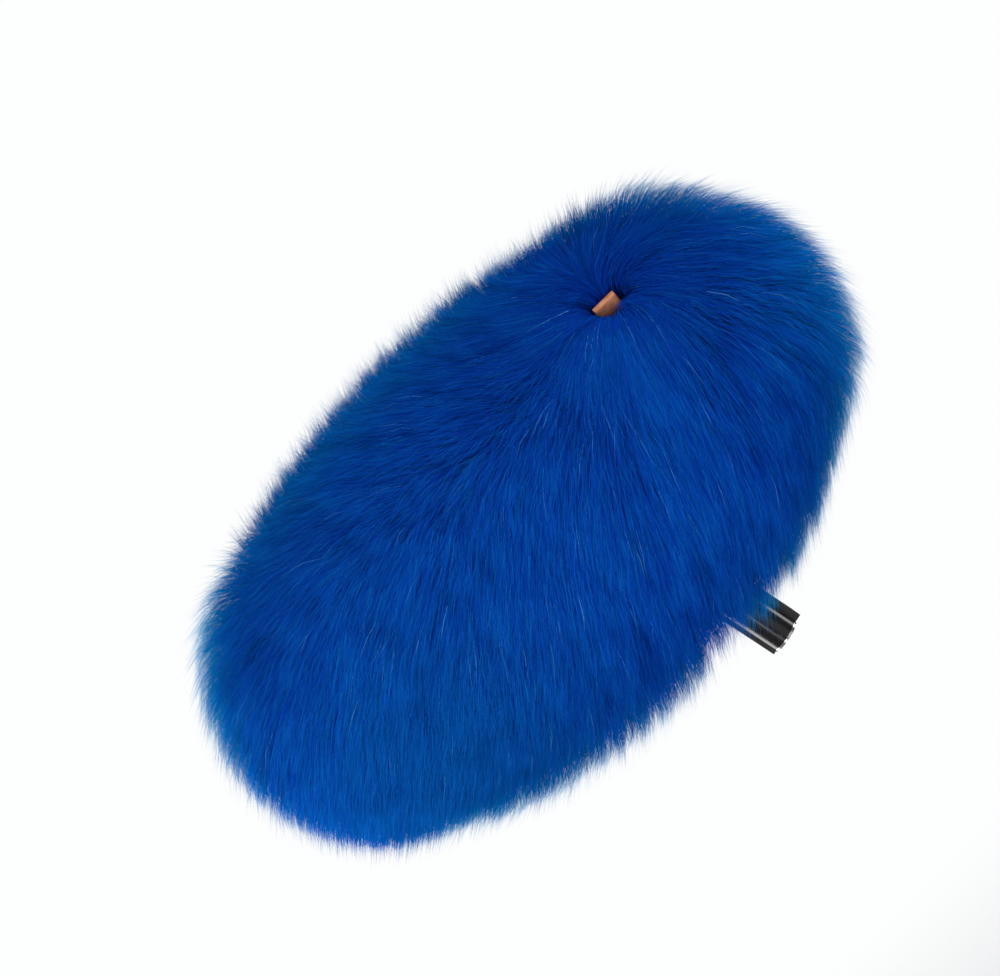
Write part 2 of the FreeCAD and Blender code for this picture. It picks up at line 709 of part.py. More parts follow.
def make_friction_washers():
    """Two washers that grip the yoke's lug between the fork ears."""
    face = "lug_half + running_gap"
    spans = ((face, "fork_inner"), ("-fork_inner", f"-({face})"))
    return group("friction_washers_shape", [
        turned(f"washer{number}", "XY_Plane", "V_Axis", [(("bolt_radius", "washer_radius"), span)])
        for number, span in enumerate(spans)])


KNOB_LOBES = 8


def make_knob():
    """A scalloped hand knob, hollow on its inner side for the threaded bush."""
    body = new_body("tilt_knob")
    disc = new_sketch(body, "XZ_Plane", "knob_disc")
    circle(disc, "0", "0", "knob_radius")
    pad(body, disc, "knob_length", reverse=True)
    seat = new_sketch(body, "XZ_Plane", "knob_seat")
    circle(seat, "0", "0", "bush_radius")
    pocket(body, seat, "knob_length - knob_floor")
    scallop = new_sketch(body, "XZ_Plane", "knob_scallop")
    circle(scallop, "knob_radius + scallop_out", "0", "scallop_radius")
    groove = pocket(body, scallop, "knob_length + reach_past")
    doc.recompute()
    pattern = body.newObject("PartDesign::PolarPattern", "knob_scallops")
    pattern.Originals = [groove]
    pattern.Axis = (scallop, ["N_Axis"])
    pattern.Angle = 360
    pattern.Occurrences = KNOB_LOBES
    body.Tip = pattern
    return body


def make_bush():
    return turned("knob_bush", "XY_Plane", "V_Axis", [
        (("bolt_radius + running_gap", "bush_radius"), ("0", "knob_length - knob_floor"))])


plug_at = {"x": -dim("plug_side"), "y": -dim("plug_forward")}
pivot_at = {"z": dim("stem_length")}
knob_at = {"y": dim("ear_outer") + dim("fit_gap"), "z": dim("stem_length")}

on_stem(make_housing(), "stem_housing")
on_stem(make_thread_insert(), "thread_insert")
on_stem(make_plug_shell(), "plug_shell", **plug_at)
on_stem(make_plug_ring(), "plug_ring", **plug_at)
on_stem(make_plug_insert(), "plug_insert", z=dim("plug_socket"), **plug_at)
on_stem(make_contacts(), "plug_contacts", **plug_at)
on_stem(make_pivot_bolt(), "pivot_bolt", **pivot_at)
on_stem(make_friction_washers(), "friction_washers", **pivot_at)
on_stem(make_knob(), "tilt_knob", **knob_at)
on_stem(make_bush(), "knob_bush", **knob_at)


# ---- fur cover: panels of pile on backing, leather tab, zip and stem collar ----------------------

BACKING_INNER = "basket_radius + cloth_thickness + backing_gap"
BACKING_OUTER = f"{BACKING_INNER} + backing_thickness"
BOTH_SIDES = (f"-{FAR}", FAR)
SEAM_TURN = Placement(Vector(0, 0, 0), Rotation(Vector(1, 0, 0), dim("seam_turn")))
OPENING_SPAN = ("pivot_forward - opening_half_length", "pivot_forward + opening_half_length")


def make_pile_form():
    """The outer form of the pile, an oval of revolution drawn with three tangent arcs."""
    width, length, end_radius = dim("pile_radius"), dim("pile_half_length"), dim("pile_end_radius")
    end_middle = length - end_radius
    rise = width - end_radius
    # The side arc's centre lies below the axis by drop, where hypot(end_middle, drop) = rise + drop.
    drop = (end_middle ** 2 - rise ** 2) / (2 * rise)
    lean = math.atan2(drop, end_middle)
    across = Vector(0, 0, 1)
    body = new_body("pile_form")
    sketch = new_sketch(body, "XY_Plane", "pile_profile")
    front = Part.ArcOfCircle(Part.Circle(Vector(end_middle, 0, 0), across, end_radius), 0, lean)
    side = Part.ArcOfCircle(Part.Circle(Vector(0, -drop, 0), across, width + drop), lean, math.pi - lean)
    rear = Part.ArcOfCircle(Part.Circle(Vector(-end_middle, 0, 0), across, end_radius),
                            math.pi - lean, math.pi)
    line = Part.LineSegment(Vector(-length, 0, 0), Vector(length, 0, 0))
    front, side, rear, line = (sketch.addGeometry(item) for item in (front, side, rear, line))
    top = sketch.addGeometry(Part.Point(Vector(0, width, 0)), True)
    for kind, *where in [("Tangent", front, 2, side, 1), ("Tangent", side, 2, rear, 1),
                         ("Coincident", rear, 2, line, 1), ("Coincident", line, 2, front, 1),
                         ("PointOnObject", front, 3, -1), ("PointOnObject", rear, 3, -1),
                         ("Horizontal", line), ("PointOnObject", line, 1, -1),
                         ("PointOnObject", top, 1, -2), ("PointOnObject", top, 1, side),
                         ("Equal", front, rear)]:
        sketch.addConstraint(Sketcher.Constraint(kind, *where))
    for formula, kind, value, *where in [("pile_end_radius", "Radius", end_radius, front),
                                         ("pile_half_length", "DistanceX", length, -1, 1, front, 1),
                                         ("pile_half_length", "DistanceX", length, rear, 2, -1, 1),
                                         ("pile_radius", "DistanceY", width, -1, 1, top, 1)]:
        index = sketch.addConstraint(Sketcher.Constraint(kind, *where, value))
        sketch.setExpression(f"Constraints[{index}]", linked(formula))
    form = body.newObject("PartDesign::Revolution", "pile_turn")
    form.Profile = sketch
    form.ReferenceAxis = (sketch, ["H_Axis"])
    form.Angle = 360
    return body


def make_cover_space():
    """Everything the cover leaves free: basket, stem swing, zip and the leather tab's root."""
    ends = [ball(f"cavity_{side}_end", BACKING_INNER, f"{sign}(cap_joint + cap_skirt)")
            for side, sign in (("front", ""), ("rear", "-"))]
    middle = rod("cavity_middle", BACKING_INNER, "2 * (cap_joint + cap_skirt)",
                 at=("-(cap_joint + cap_skirt)", "0", "0"))
    collar = block("collar_space", OPENING_SPAN, ("-opening_half_width", "opening_half_width"),
                   ("-collar_drop - reach_past", "reach_past - basket_radius"))
    body = new_body("swing_space")
    swing = new_sketch(body, "XZ_Plane", "swing_profile")
    before, after = "pivot_forward - opening_half_length - 1", "pivot_forward + opening_half_length + 1"
    outside, inside = "-pile_radius - reach_past", "-collar_drop - 1"
    outline(swing, [("pivot_forward - swing_half_mouth", outside),
                    ("pivot_forward + swing_half_mouth", outside),
                    (after, "-pivot_drop - swing_straight"),
                    (after, inside),
                    (before, inside),
                    (before, "-pivot_drop - swing_straight")])
    pad(body, swing, "swing_front_reach + swing_back_reach")
    bind(body, **{"Placement.Base.y": "swing_back_reach"})
    zip_gap = block("zip_space", ("-cap_joint - fit_gap", "pivot_forward"),
                    ("-zip_slot_half", "zip_slot_half"), (f"-{FAR}", "reach_past - basket_radius"))
    half_tab = "tab_width / 2 + sewn_gap"
    slot = block("tab_space", (f"tab_forward - ({half_tab})", f"tab_forward + {half_tab}"),
                 ("-tab_leather - 2 * sewn_gap", "tab_leather + 2 * sewn_gap"),
                 ("basket_radius - reach_past", f"{BACKING_OUTER} + tab_height + fit_gap"))
    tab = group("tab_slot", [slot])
    tab.Placement = SEAM_TURN
    return joined("cover_space", [middle, *ends, collar, body, zip_gap, tab])


def section(name, cover, x):
    """The part of the cover between two planes square to the basket's axis."""
    return shared(name + "_section", [cover, block(name + "_region", x, BOTH_SIDES, BOTH_SIDES)])


def connector_side():
    """The space on the connector's side of the cover, from the zip below round to the upper seam."""
    side = block("connector_half", BOTH_SIDES, (f"-{FAR}", "0"), BOTH_SIDES)
    past_seam = group("past_seam", [block("knob_half", BOTH_SIDES, ("0", FAR), BOTH_SIDES)])
    past_seam.Placement = SEAM_TURN
    return cut("connector_side", side, past_seam)


def make_tab():
    """A folded leather loop sewn into the top seam."""
    body = new_body("pull_tab")
    profile = new_sketch(body, "YZ_Plane", "tab_profile")
    rectangle(profile, ("-tab_leather - sewn_gap", "tab_leather + sewn_gap"),
              (f"{BACKING_INNER} + sewn_gap", f"{BACKING_OUTER} + tab_height"))
    leaf = pad(body, profile, "tab_width", middle=True)
    top = dim("basket_radius") + dim("tab_height")
    rounded(body, leaf, lambda a, b: abs(a.x - b.x) > 1 and a.z > top, "tab_leather")
    body.Placement = SEAM_TURN
    return body


def make_collar():
    """An elastic collar round the yoke's neck that closes the cover's stem opening."""
    patch = block("collar_patch", OPENING_SPAN, ("-opening_half_width", "opening_half_width"),
                  ("-collar_drop", f"-({BACKING_INNER}) - sewn_gap"))
    return cut("collar_shape", patch, neck_hole("collar_hole", "neck_gap"))


ZIP_LOW = "-cap_joint + 1"
ZIP_HIGH = "pivot_forward - opening_half_length"


def make_zip_tapes():
    face = (f"-({BACKING_INNER}) - zip_tape", f"-({BACKING_INNER})")
    return group("zip_tapes_shape", [
        block("zip_tape_left", (ZIP_LOW, ZIP_HIGH), ("zip_chain_half", "zip_slot_half"), face),
        block("zip_tape_right", (ZIP_LOW, ZIP_HIGH), ("-zip_slot_half", "-zip_chain_half"), face)])


def make_zip_chain():
    return group("zip_chain_shape", [
        block("zip_teeth", (ZIP_LOW, ZIP_HIGH), ("-zip_chain_half", "zip_chain_half"),
              (f"-({BACKING_INNER}) - zip_chain_height", f"-({BACKING_INNER})"))])


SLIDER_TOP = f"-({BACKING_INNER}) - zip_chain_height - fit_gap"
SLIDER_FACE = f"{SLIDER_TOP} - slider_height"
BRIDGE_START = "-cap_joint + slider_start + bridge_inset"
BRIDGE_END = "-cap_joint + slider_start + slider_length - bridge_inset"


def make_zip_slider():
    """The slider's plate with the bridge that its pull hangs from."""
    start = "-cap_joint + slider_start"
    plate = block("slider_plate", (start, f"{start} + slider_length"), ("-slider_half", "slider_half"),
                  (SLIDER_FACE, SLIDER_TOP))
    bridge = block("slider_bridge", (BRIDGE_START, BRIDGE_END), ("-bridge_half", "bridge_half"),
                   (f"{SLIDER_FACE} - bridge_height", SLIDER_FACE))
    eye = block("slider_eye", (f"{BRIDGE_START} + bridge_leg", f"{BRIDGE_END} - bridge_leg"),
                ("-2 * bridge_half", "2 * bridge_half"),
                (f"{SLIDER_FACE} - bridge_height + bridge_bar", SLIDER_FACE))
    return cut("zip_slider_shape", joined("slider_whole", [plate, bridge]), eye)


def make_zip_pull():
    """A flat pull lying along the zip, with a window whose end bar hangs in the slider's bridge."""
    window_start = f"{BRIDGE_END} - bridge_leg - pull_gap"
    leaf_start = f"{window_start} - pull_bar"
    low, high = f"{SLIDER_FACE} - sewn_gap - pull_thickness", f"{SLIDER_FACE} - sewn_gap"
    leaf = block("pull_leaf", (leaf_start, f"{leaf_start} + pull_length"), ("-pull_half", "pull_half"),
                 (low, high))
    window = block("pull_window", (window_start, f"{BRIDGE_END} + pull_gap"),
                   ("-bridge_half - pull_gap", "bridge_half + pull_gap"), (low, high))
    return group("zip_pull_shape", [cut("pull_shape", leaf, window)])


cover = cut("cover", make_pile_form(), make_cover_space())
sleeve = section("sleeve", cover, ("-cap_joint", "nose_seam"))
near_side = connector_side()
on_basket(cut("left_panel", sleeve, near_side), "fur_panel_left")
on_basket(shared("right_panel", [sleeve, near_side]), "fur_panel_right")
on_basket(section("nose", cover, ("nose_seam", FAR)), "fur_panel_nose")
on_basket(section("tail", cover, (f"-{FAR}", "-cap_joint - fit_gap")), "fur_panel_tail")
on_basket(make_tab(), "pull_tab", x="tab_forward")
on_basket(make_collar(), "stem_collar")
on_basket(make_zip_tapes(), "zip_tapes")
on_basket(make_zip_chain(), "zip_chain")
on_basket(make_zip_slider(), "zip_slider")
on_basket(make_zip_pull(), "zip_pull")


# ---- checks and files ------------------------------------------------------------------------

doc.recompute()
for item in doc.Objects:
    if "Invalid" in item.State or "Error" in item.State:
        raise SystemExit(f"{item.Name} failed: {item.State}")
for item in parts:
    if item.Shape.isNull() or not item.Shape.isValid():
        raise SystemExit(f"{item.Label} has no valid shape")

os.makedirs("parts", exist_ok=True)
for item in parts:
    item.Shape.exportStep(f"parts/{item.Label}.step")
    box = item.Shape.BoundBox
    print(f"{item.Label:18s} solids {len(item.Shape.Solids)}  volume {item.Shape.Volume:10.0f}  "
          f"x {box.XMin:7.1f} {box.XMax:7.1f}  y {box.YMin:7.1f} {box.YMax:7.1f}  "
          f"z {box.ZMin:7.1f} {box.ZMax:7.1f}")
print(len(parts), "sub-parts")
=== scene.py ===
import json
import math

import bmesh
import bpy
import numpy as np
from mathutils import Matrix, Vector


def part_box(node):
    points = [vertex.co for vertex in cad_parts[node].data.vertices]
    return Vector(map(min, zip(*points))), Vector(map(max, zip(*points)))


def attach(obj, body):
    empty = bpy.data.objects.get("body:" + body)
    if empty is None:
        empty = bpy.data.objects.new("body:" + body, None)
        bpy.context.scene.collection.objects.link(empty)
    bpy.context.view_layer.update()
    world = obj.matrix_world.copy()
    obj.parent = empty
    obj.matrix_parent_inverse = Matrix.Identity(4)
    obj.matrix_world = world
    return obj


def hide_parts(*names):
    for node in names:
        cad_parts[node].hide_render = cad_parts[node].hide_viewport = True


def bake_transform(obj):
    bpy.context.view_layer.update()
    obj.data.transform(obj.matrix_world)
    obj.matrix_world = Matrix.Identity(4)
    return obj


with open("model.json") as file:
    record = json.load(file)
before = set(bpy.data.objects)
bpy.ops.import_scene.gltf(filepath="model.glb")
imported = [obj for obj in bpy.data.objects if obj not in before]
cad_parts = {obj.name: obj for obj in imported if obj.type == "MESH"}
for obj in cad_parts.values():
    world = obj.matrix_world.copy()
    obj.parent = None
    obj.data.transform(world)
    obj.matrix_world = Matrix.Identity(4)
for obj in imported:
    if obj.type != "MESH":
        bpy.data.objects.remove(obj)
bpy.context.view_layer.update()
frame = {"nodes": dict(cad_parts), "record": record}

MM = 0.001

# ---- sizes, in millimetres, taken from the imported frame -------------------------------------

cage_low, cage_high = (np.array(corner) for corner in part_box("centre_cage"))
MIDDLE = (cage_low + cage_high) / 2
nose_high = np.array(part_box("fur_panel_nose")[1])
side_high = np.array(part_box("fur_panel_left")[1])
CLOTH_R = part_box("centre_cloth")[1][1] / MM
HALF_LENGTH = (nose_high[0] - MIDDLE[0]) / MM
PILE_R = side_high[1] / MM
END_R = 94.0
BACKING_IN = CLOTH_R + 0.6
BACKING_OUT = BACKING_IN + 1.8
DOME_START = 110.0
CAP_JOINT = 104.0
NOSE_SEAM = 120.0
JOINT_GAP = 0.3
SEAM_GAP = 0.2
PIVOT_X = 37.7
PIVOT_DROP = 67.0
STEM_LEAN = math.radians(11.8)
ZIP_HALF = 8.2
OPENING_HALF_LENGTH = 17.0
OPENING_HALF_WIDTH = 15.0
TAB_SLOT_HALF = 2.6
SEAM_TURN = math.radians(50.0)
TAB_X = 103.5
TAB_HALF = 7.1
TAB_TOP = BACKING_OUT + 50.0
TAB_SHOWN = 4.4

# ---- camera: side-on, slightly from above, rolled so that the basket points up to the right --

ELEVATION = math.radians(7.0)
ROLL = math.radians(44.66)
LENS = 135.0
DISTANCE = 2.016
AIM_RIGHT, AIM_UP = -0.0188, 0.0165
FLOOR_RADIUS = 1.1
FLOOR_DROP = 0.45
ROOM_LIGHT = 0.58
ROOM_REFLECTION = 0.12

LEVEL_RIGHT = np.array([1.0, 0.0, 0.0])
LEVEL_UP = np.array([0.0, math.sin(ELEVATION), math.cos(ELEVATION)])
TOWARD = np.array([0.0, -math.cos(ELEVATION), math.sin(ELEVATION)])
RIGHT = math.cos(ROLL) * LEVEL_RIGHT - math.sin(ROLL) * LEVEL_UP
UP = math.sin(ROLL) * LEVEL_RIGHT + math.cos(ROLL) * LEVEL_UP


def make_camera():
    data = bpy.data.cameras.new("camera")
    data.lens = LENS
    data.sensor_width = 36.0
    camera = bpy.data.objects.new("camera", data)
    bpy.context.scene.collection.objects.link(camera)
    aim = MIDDLE + RIGHT * AIM_RIGHT + UP * AIM_UP
    place(camera, aim + TOWARD * DISTANCE, RIGHT, UP, TOWARD)
    bpy.context.scene.camera = camera


def place(item, at, across, up, back):
    """Put an object at a point, with its own X, Y and Z axes along three directions."""
    matrix = item.matrix_world.copy()
    for row in range(3):
        matrix[row][0] = across[row]
        matrix[row][1] = up[row]
        matrix[row][2] = back[row]
        matrix[row][3] = at[row]
    item.matrix_world = matrix


# ---- stage: floor, sky and soft lights ----------------------------------------------------------

def area_light(name, at, target, size, power):
    data = bpy.data.lights.new(name, "AREA")
    data.shape = "RECTANGLE"
    data.size = size[0]
    data.size_y = size[1]
    data.energy = power
    light = bpy.data.objects.new(name, data)
    bpy.context.scene.collection.objects.link(light)
    back = np.array(at) - np.array(target)
    back = back / np.linalg.norm(back)
    across = np.cross(UP, back)
    across = across / np.linalg.norm(across)
    place(light, at, across, np.cross(back, across), back)


def make_stage():
    world = bpy.data.worlds.new("studio")
    world.use_nodes = True
    sky = world.node_tree.nodes["Background"]
    sky.inputs["Color"].default_value = (0.985, 0.990, 0.995, 1.0)
    # The backdrop is white, the room round it dimmer, and duller still in polished parts.
    nodes, links = world.node_tree.nodes, world.node_tree.links
    ray = nodes.new("ShaderNodeLightPath")
    dimmed = nodes.new("ShaderNodeMix")
    dimmed.inputs[2].default_value = ROOM_LIGHT
    dimmed.inputs[3].default_value = ROOM_REFLECTION
    links.new(ray.outputs["Is Glossy Ray"], dimmed.inputs[0])
    seen = nodes.new("ShaderNodeMix")
    seen.inputs[3].default_value = 1.0
    links.new(ray.outputs["Is Camera Ray"], seen.inputs[0])
    links.new(dimmed.outputs[0], seen.inputs[2])
    links.new(seen.outputs[0], sky.inputs["Strength"])
    bpy.context.scene.world = world

    mesh = bpy.data.meshes.new("floor")
    form = bmesh.new()
    bmesh.ops.create_circle(form, cap_ends=True, radius=FLOOR_RADIUS, segments=96)
    form.to_mesh(mesh)
    form.free()
    floor = bpy.data.objects.new("floor", mesh)
    bpy.context.scene.collection.objects.link(floor)
    floor.location = (MIDDLE[0], MIDDLE[1], -FLOOR_DROP)
    look = new_material("floor")
    nodes, links = look.node_tree.nodes, look.node_tree.links
    shader = nodes["Principled BSDF"]
    where = nodes.new("ShaderNodeTexCoord")
    grain = nodes.new("ShaderNodeTexNoise")
    grain.inputs["Scale"].default_value = 3.0
    shade = ramp(nodes, (0.3, (0.80, 0.81, 0.82)), (0.7, (0.83, 0.84, 0.85)))
    links.new(where.outputs["Object"], grain.inputs["Vector"])
    links.new(grain.outputs["Fac"], shade.inputs["Fac"])
    links.new(shade.outputs["Color"], shader.inputs["Base Color"])
    shader.inputs["Roughness"].default_value = 0.9
    shader.inputs["Specular IOR Level"].default_value = 0.1
    spread_out = nodes.new("ShaderNodeVectorMath")
    spread_out.operation = "LENGTH"
    links.new(where.outputs["Object"], spread_out.inputs[0])
    fade = nodes.new("ShaderNodeMapRange")
    fade.interpolation_type = "SMOOTHSTEP"
    fade.inputs["From Min"].default_value = 0.35 * FLOOR_RADIUS
    fade.inputs["From Max"].default_value = 0.98 * FLOOR_RADIUS
    fade.inputs["To Min"].default_value = 1.0
    fade.inputs["To Max"].default_value = 0.0
    links.new(spread_out.outputs["Value"], fade.inputs["Value"])
    links.new(fade.outputs["Result"], shader.inputs["Alpha"])
    mesh.materials.append(look)

    centre = MIDDLE
    key_at = centre + TOWARD * 1.95 - UP * 0.55 - RIGHT * 0.55
    area_light("key", key_at, centre, (1.5, 1.5), 32.0)
    fill_at = centre + TOWARD * 1.5 + UP * 0.2 + RIGHT * 1.1
    area_light("fill", fill_at, centre, (1.4, 1.2), 2.0)
    rim_at = centre - TOWARD * 0.7 - UP * 1.5 - RIGHT * 1.0
    area_light("rim_low", rim_at, centre, (1.6, 1.2), 26.0)
    back_at = centre - TOWARD * 0.7 + UP * 1.6 + RIGHT * 0.9
    area_light("rim_high", back_at, centre, (1.6, 1.2), 22.0)


# ---- material nodes ---------------------------------------------------------------------------

def new_material(name):
    look = bpy.data.materials.get(name) or bpy.data.materials.new(name)
    look.use_nodes = True
    return look


def ramp(nodes, low, high):
    """A colour ramp with two stops of (position, colour)."""
    item = nodes.new("ShaderNodeValToRGB")
    for stop, (position, colour) in zip(item.color_ramp.elements, (low, high)):
        stop.position = position
        stop.color = (*colour, 1.0)
    return item


def grained(name, dark, light, scale, rough, bump, metallic=0.0, specular=0.5, coat=0.0):
    """A surface whose colour, roughness and fine relief follow one noise."""
    look = new_material(name)
    nodes, links = look.node_tree.nodes, look.node_tree.links
    shader = nodes["Principled BSDF"]
    shader.inputs["Metallic"].default_value = metallic
    shader.inputs["Specular IOR Level"].default_value = specular
    shader.inputs["Coat Weight"].default_value = coat
    where = nodes.new("ShaderNodeTexCoord")
    noise = nodes.new("ShaderNodeTexNoise")
    noise.inputs["Scale"].default_value = scale
    noise.inputs["Detail"].default_value = 6.0
    links.new(where.outputs["Object"], noise.inputs["Vector"])
    colour = ramp(nodes, (0.3, dark), (0.7, light))
    links.new(noise.outputs["Fac"], colour.inputs["Fac"])
    links.new(colour.outputs["Color"], shader.inputs["Base Color"])
    gloss = ramp(nodes, (0.3, (rough[0],) * 3), (0.7, (rough[1],) * 3))
    links.new(noise.outputs["Fac"], gloss.inputs["Fac"])
    links.new(gloss.outputs["Color"], shader.inputs["Roughness"])
    relief = nodes.new("ShaderNodeBump")
    relief.inputs["Strength"].default_value = bump
    relief.inputs["Distance"].default_value = 0.0002
    links.new(noise.outputs["Fac"], relief.inputs["Height"])
    links.new(relief.outputs["Normal"], shader.inputs["Normal"])
    return look


def brushed(name, dark, light, rough):
    """Metal with fine lines along one direction."""
    look = grained(name, dark, light, 900.0, rough, 0.15, metallic=1.0)
    nodes, links = look.node_tree.nodes, look.node_tree.links
    noise = next(node for node in nodes if node.type == "TEX_NOISE")
    where = next(node for node in nodes if node.type == "TEX_COORD")
    scaled = nodes.new("ShaderNodeMapping")
    scaled.inputs["Scale"].default_value = (1.0, 1.0, 30.0)
    links.new(where.outputs["Object"], scaled.inputs["Vector"])
    links.new(scaled.outputs["Vector"], noise.inputs["Vector"])
    return look


def woven(name, dark, light, pitch, rough, bump, sheen):
    """Cloth with threads crossing at a pitch in metres."""
    look = new_material(name)
    nodes, links = look.node_tree.nodes, look.node_tree.links
    shader = nodes["Principled BSDF"]
    shader.inputs["Roughness"].default_value = rough
    shader.inputs["Sheen Weight"].default_value = sheen
    shader.inputs["Specular IOR Level"].default_value = 0.2
    where = nodes.new("ShaderNodeTexCoord")
    waves = []
    for axis in ("X", "Y", "Z"):
        wave = nodes.new("ShaderNodeTexWave")
        wave.wave_type = "BANDS"
        wave.bands_direction = axis
        wave.inputs["Scale"].default_value = 0.314 / pitch
        wave.inputs["Distortion"].default_value = 0.6
        links.new(where.outputs["Object"], wave.inputs["Vector"])
        waves.append(wave)
    first = nodes.new("ShaderNodeMath")
    first.operation = "MAXIMUM"
    links.new(waves[0].outputs["Fac"], first.inputs[0])
    links.new(waves[1].outputs["Fac"], first.inputs[1])
    second = nodes.new("ShaderNodeMath")
    second.operation = "MULTIPLY"
    links.new(first.outputs["Value"], second.inputs[0])
    links.new(waves[2].outputs["Fac"], second.inputs[1])
    colour = ramp(nodes, (0.05, dark), (0.8, light))
    links.new(second.outputs["Value"], colour.inputs["Fac"])
    links.new(colour.outputs["Color"], shader.inputs["Base Color"])
    relief = nodes.new("ShaderNodeBump")
    relief.inputs["Strength"].default_value = bump
    relief.inputs["Distance"].default_value = 0.0003
    links.new(second.outputs["Value"], relief.inputs["Height"])
    links.new(relief.outputs["Normal"], shader.inputs["Normal"])
    return look


def hair(name, colour, rough=0.6, specular=0.0):
    """One shade of hair. A strand wears several shades from its root to its tip."""
    look = new_material(name)
    shader = look.node_tree.nodes["Principled BSDF"]
    shader.inputs["Base Color"].default_value = (*colour, 1.0)
    shader.inputs["Roughness"].default_value = rough
    shader.inputs["Specular IOR Level"].default_value = specular
    shader.inputs["Sheen Weight"].default_value = 1.0
    shader.inputs["Sheen Roughness"].default_value = 0.35
    shader.inputs["Sheen Tint"].default_value = (0.0, 0.5, 0.8, 1.0)
    return look


TEAL = 9
SHADES = [(0.005 * blue, 0.195 * blue ** 1.6, blue) for blue in (0.17 * 1.2 ** step for step in range(TEAL))]
GLINT = 2 * TEAL


def hair_materials():
    """Blue from dark to light, the same again leaning to teal, and one pale shade."""
    blues = [hair(f"hair_blue_{number}", colour) for number, colour in enumerate(SHADES)]
    teals = [hair(f"hair_teal_{number}", (red, 1.75 * green, 0.95 * blue))
             for number, (red, green, blue) in enumerate(SHADES)]
    return blues + teals + [hair("hair_glint", (0.08, 0.36, 0.78), rough=0.4, specular=0.3)]


# Name, dark colour, light colour, grain size, roughness, relief, specular level and coat.
GRAINED = [
    ("housing_plastic", (0.006, 0.006, 0.007), (0.022, 0.022, 0.024), 1800.0, (0.4, 0.6), 0.6, 0.3, 0.0),
    ("plug_gloss", (0.004, 0.004, 0.005), (0.008, 0.008, 0.01), 400.0, (0.16, 0.26), 0.03, 0.5, 0.2),
    ("insulator", (0.008, 0.008, 0.008), (0.02, 0.02, 0.02), 900.0, (0.5, 0.65), 0.2, 0.5, 0.0),
    ("washer_fibre", (0.06, 0.035, 0.02), (0.14, 0.09, 0.05), 1200.0, (0.7, 0.85), 0.4, 0.5, 0.0),
    ("knob_plastic", (0.01, 0.01, 0.011), (0.028, 0.028, 0.03), 1500.0, (0.4, 0.55), 0.4, 0.5, 0.0),
    ("soft_rubber", (0.012, 0.012, 0.012), (0.025, 0.025, 0.026), 1400.0, (0.7, 0.85), 0.3, 0.5, 0.0),
    ("lyre_plastic", (0.02, 0.02, 0.021), (0.04, 0.04, 0.042), 900.0, (0.35, 0.5), 0.15, 0.5, 0.0),
    ("clip_plastic", (0.02, 0.02, 0.02), (0.038, 0.038, 0.04), 900.0, (0.4, 0.55), 0.15, 0.5, 0.0),
    ("cage_plastic", (0.028, 0.028, 0.03), (0.055, 0.055, 0.06), 700.0, (0.4, 0.55), 0.2, 0.5, 0.0),
    ("slider_metal", (0.012, 0.012, 0.014), (0.03, 0.03, 0.034), 800.0, (0.25, 0.4), 0.1, 0.5, 0.3),
]
# Name, dark colour, light colour and roughness.
BRUSHED = [
    ("insert_steel", (0.4, 0.4, 0.41), (0.6, 0.6, 0.61), (0.25, 0.4)),
    ("bright_ring", (0.75, 0.75, 0.76), (0.92, 0.92, 0.93), (0.08, 0.16)),
    ("contact_brass", (0.62, 0.45, 0.2), (0.8, 0.62, 0.3), (0.2, 0.35)),
    ("bolt_steel", (0.2, 0.2, 0.21), (0.38, 0.38, 0.39), (0.3, 0.45)),
    ("rail_metal", (0.05, 0.05, 0.055), (0.12, 0.12, 0.13), (0.35, 0.5)),
]
# Name, dark colour, light colour, pitch in metres, roughness, relief and sheen.
WOVEN = [
    ("acoustic_cloth", (0.015, 0.015, 0.017), (0.08, 0.08, 0.088), 0.0009, 0.8, 0.6, 0.3),
    ("zip_tape", (0.004, 0.01, 0.04), (0.012, 0.03, 0.11), 0.0007, 0.8, 0.5, 0.3),
    ("zip_teeth", (0.003, 0.006, 0.025), (0.02, 0.04, 0.13), 0.0014, 0.4, 1.0, 0.0),
    ("blue_fur", (0.0, 0.006, 0.06), (0.0, 0.03, 0.2), 0.0012, 0.9, 0.8, 0.3),
]


def dress_nodes():
    """Give every shown CAD node its finish."""
    looks = {"tan_leather": leather("tan_leather")}
    for name, dark, light, scale, rough, bump, specular, coat in GRAINED:
        looks[name] = grained(name, dark, light, scale, rough, bump, specular=specular, coat=coat)
    for name, dark, light, rough in BRUSHED:
        looks[name] = brushed(name, dark, light, rough)
    for name, dark, light, pitch, rough, bump, sheen in WOVEN:
        looks[name] = woven(name, dark, light, pitch, rough, bump, sheen)
    slot_of = {item["node"]: item["material_slot"] for item in frame["record"]["subparts"]}
    for name in frame["nodes"]:
        node = frame["nodes"][name]
        look = looks[slot_of[name]]
        if not node.material_slots:
            node.data.materials.append(look)
        for place_for in node.material_slots:
            place_for.material = look
    return looks


